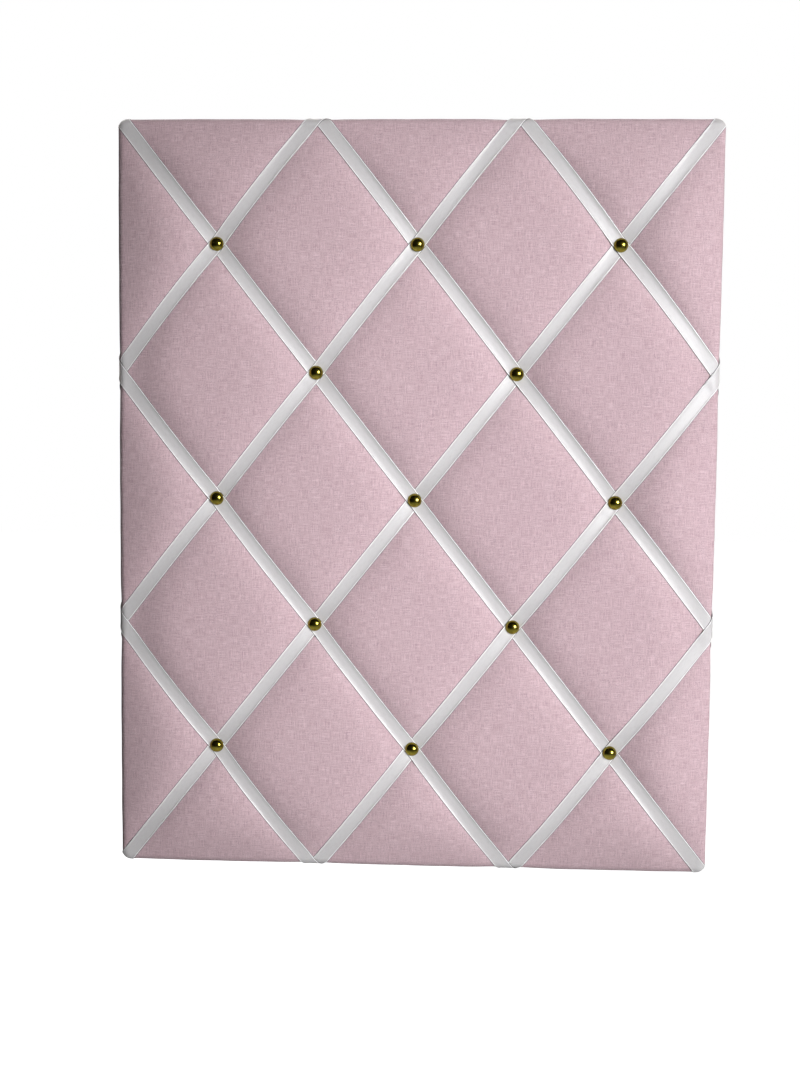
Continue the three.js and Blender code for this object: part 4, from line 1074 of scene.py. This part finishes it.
def pale_floor():
    """A wide level floor under the hung board: white to the camera where no shadow falls, dim in the light
    that it throws back, and bright in gloss near the board."""
    size = FLOOR_HALF
    corners = [(-size, -size, FLOOR_LEVEL), (size, -size, FLOOR_LEVEL), (size, size, FLOOR_LEVEL),
               (-size, size, FLOOR_LEVEL)]
    mesh = bpy.data.meshes.new("floor")
    mesh.from_pydata(corners, [], [(0, 1, 2, 3)])
    material = bpy.data.materials.new("pale_floor")
    material.use_nodes = True
    tree = material.node_tree
    tree.nodes.clear()
    path = put(tree, "ShaderNodeLightPath").outputs
    seen = path["Is Camera Ray"]
    tone = blended(tree, seen, linear(FLOOR_DIM), linear(FLOOR_PALE))
    diffuse = put(tree, "ShaderNodeBsdfDiffuse", {"Color": tone}).outputs[0]
    away = put(tree, "ShaderNodeVectorMath", {0: object_place(tree)}, operation="LENGTH")
    distance = away.outputs["Value"]
    glow_level = ramp(tree, distance, FLOOR_NEAR, FLOOR_FAR, FLOOR_GLOW_NEAR, FLOOR_GLOW_FAR)
    gloss_level = ramp(tree, distance, FLOOR_NEAR, FLOOR_FAR, FLOOR_GLOSS, 0.0)
    in_gloss = maths(tree, "MULTIPLY", path["Is Glossy Ray"], gloss_level)
    glow_share = maths(tree, "ADD", maths(tree, "MULTIPLY", seen, glow_level), in_gloss)
    glow = put(tree, "ShaderNodeEmission", {"Strength": glow_share}).outputs[0]
    both = put(tree, "ShaderNodeAddShader", {0: diffuse, 1: glow}).outputs[0]
    put(tree, "ShaderNodeOutputMaterial", {"Surface": both})
    mesh.materials.append(material)
    floor = bpy.data.objects.new("floor", mesh)
    bpy.context.scene.collection.objects.link(floor)


def soft_light(name, place, aim, size, spread, watts, colour):
    """A square area light turned to a place it aims at, with its light kept inside a cone of so many
    degrees."""
    lamp = bpy.data.lights.new(name, "AREA")
    lamp.shape = "SQUARE"
    lamp.size = size
    lamp.energy = watts
    lamp.color = linear(colour)[:3]
    lamp.spread = math.radians(spread)
    light = bpy.data.objects.new(name, lamp)
    light.location = place
    light.rotation_euler = (Vector(aim) - Vector(place)).to_track_quat("-Z", "Y").to_euler()
    bpy.context.scene.collection.objects.link(light)


def from_board(azimuth, elevation, distance):
    """A place in front of the board: azimuth to the right of straight ahead, and elevation, in degrees."""
    turn, climb = math.radians(azimuth), math.radians(elevation)
    level = distance * math.cos(climb)
    return (level * math.sin(turn), -level * math.cos(turn), distance * math.sin(climb))


def studio_world():
    """White to the camera, a warm fill to diffuse surfaces that grows from left to right, and to gloss white
    behind the board and dark in front of it, where a dim room would be."""
    world = bpy.data.worlds.new("studio")
    world.use_nodes = True
    tree = world.node_tree
    tree.nodes.clear()
    path = put(tree, "ShaderNodeLightPath").outputs
    seen = maths(tree, "MAXIMUM", path["Is Camera Ray"], path["Is Transmission Ray"])
    facing = put(tree, "ShaderNodeTexCoord").outputs["Generated"]
    sides = put(tree, "ShaderNodeSeparateXYZ", {"Vector": facing}).outputs
    room = ramp(tree, sides[0], -1.0, 1.0, FILL_LEFT, FILL_RIGHT)
    gloss = ramp(tree, sides[1], ROOM_END, BACKDROP_START, ROOM_GLOSS, interpolation_type="SMOOTHSTEP")
    fill = put(tree, "ShaderNodeMix", {0: path["Is Glossy Ray"], 2: room, 3: gloss}).outputs[0]
    strength = put(tree, "ShaderNodeMix", {0: seen, 2: fill, 3: 1.0}).outputs[0]
    tint = blended(tree, seen, linear(FILL_WARM), linear(WHITE))
    sky = put(tree, "ShaderNodeBackground", {"Color": tint, "Strength": strength}).outputs[0]
    put(tree, "ShaderNodeOutputWorld", {"Surface": sky})
    bpy.context.scene.world = world


def photo_camera():
    """The camera at the photo's viewing angle, tipped a little so that its right side is up."""
    eye, aim = Vector(CAMERA_EYE), Vector(CAMERA_AIM)
    forward = (aim - eye).normalized()
    level = forward.cross(Vector((0, 0, 1))).normalized()
    upright = level.cross(forward)
    right = level * math.cos(CAMERA_ROLL) + upright * math.sin(CAMERA_ROLL)
    up = right.cross(forward)
    camera = bpy.data.objects.new("camera", bpy.data.cameras.new("camera"))
    camera.data.lens = CAMERA_LENS
    turned = Matrix((right, up, -forward)).transposed()
    camera.matrix_world = Matrix.Translation(eye) @ turned.to_4x4()
    bpy.context.scene.collection.objects.link(camera)
    bpy.context.scene.camera = camera


pale_floor()
studio_world()
key_place = from_board(KEY_AZIMUTH, KEY_ELEVATION, KEY_DISTANCE)
soft_light("key_light", key_place, KEY_AIM, KEY_SIZE, KEY_SPREAD, KEY_WATTS, KEY_COOL)
soft_light("back_light", BACK_PLACE, BOARD_MIDDLE, BACK_SIZE, BACK_SPREAD, BACK_WATTS, WHITE)
photo_camera()
bpy.context.scene.view_settings.view_transform = "Standard"
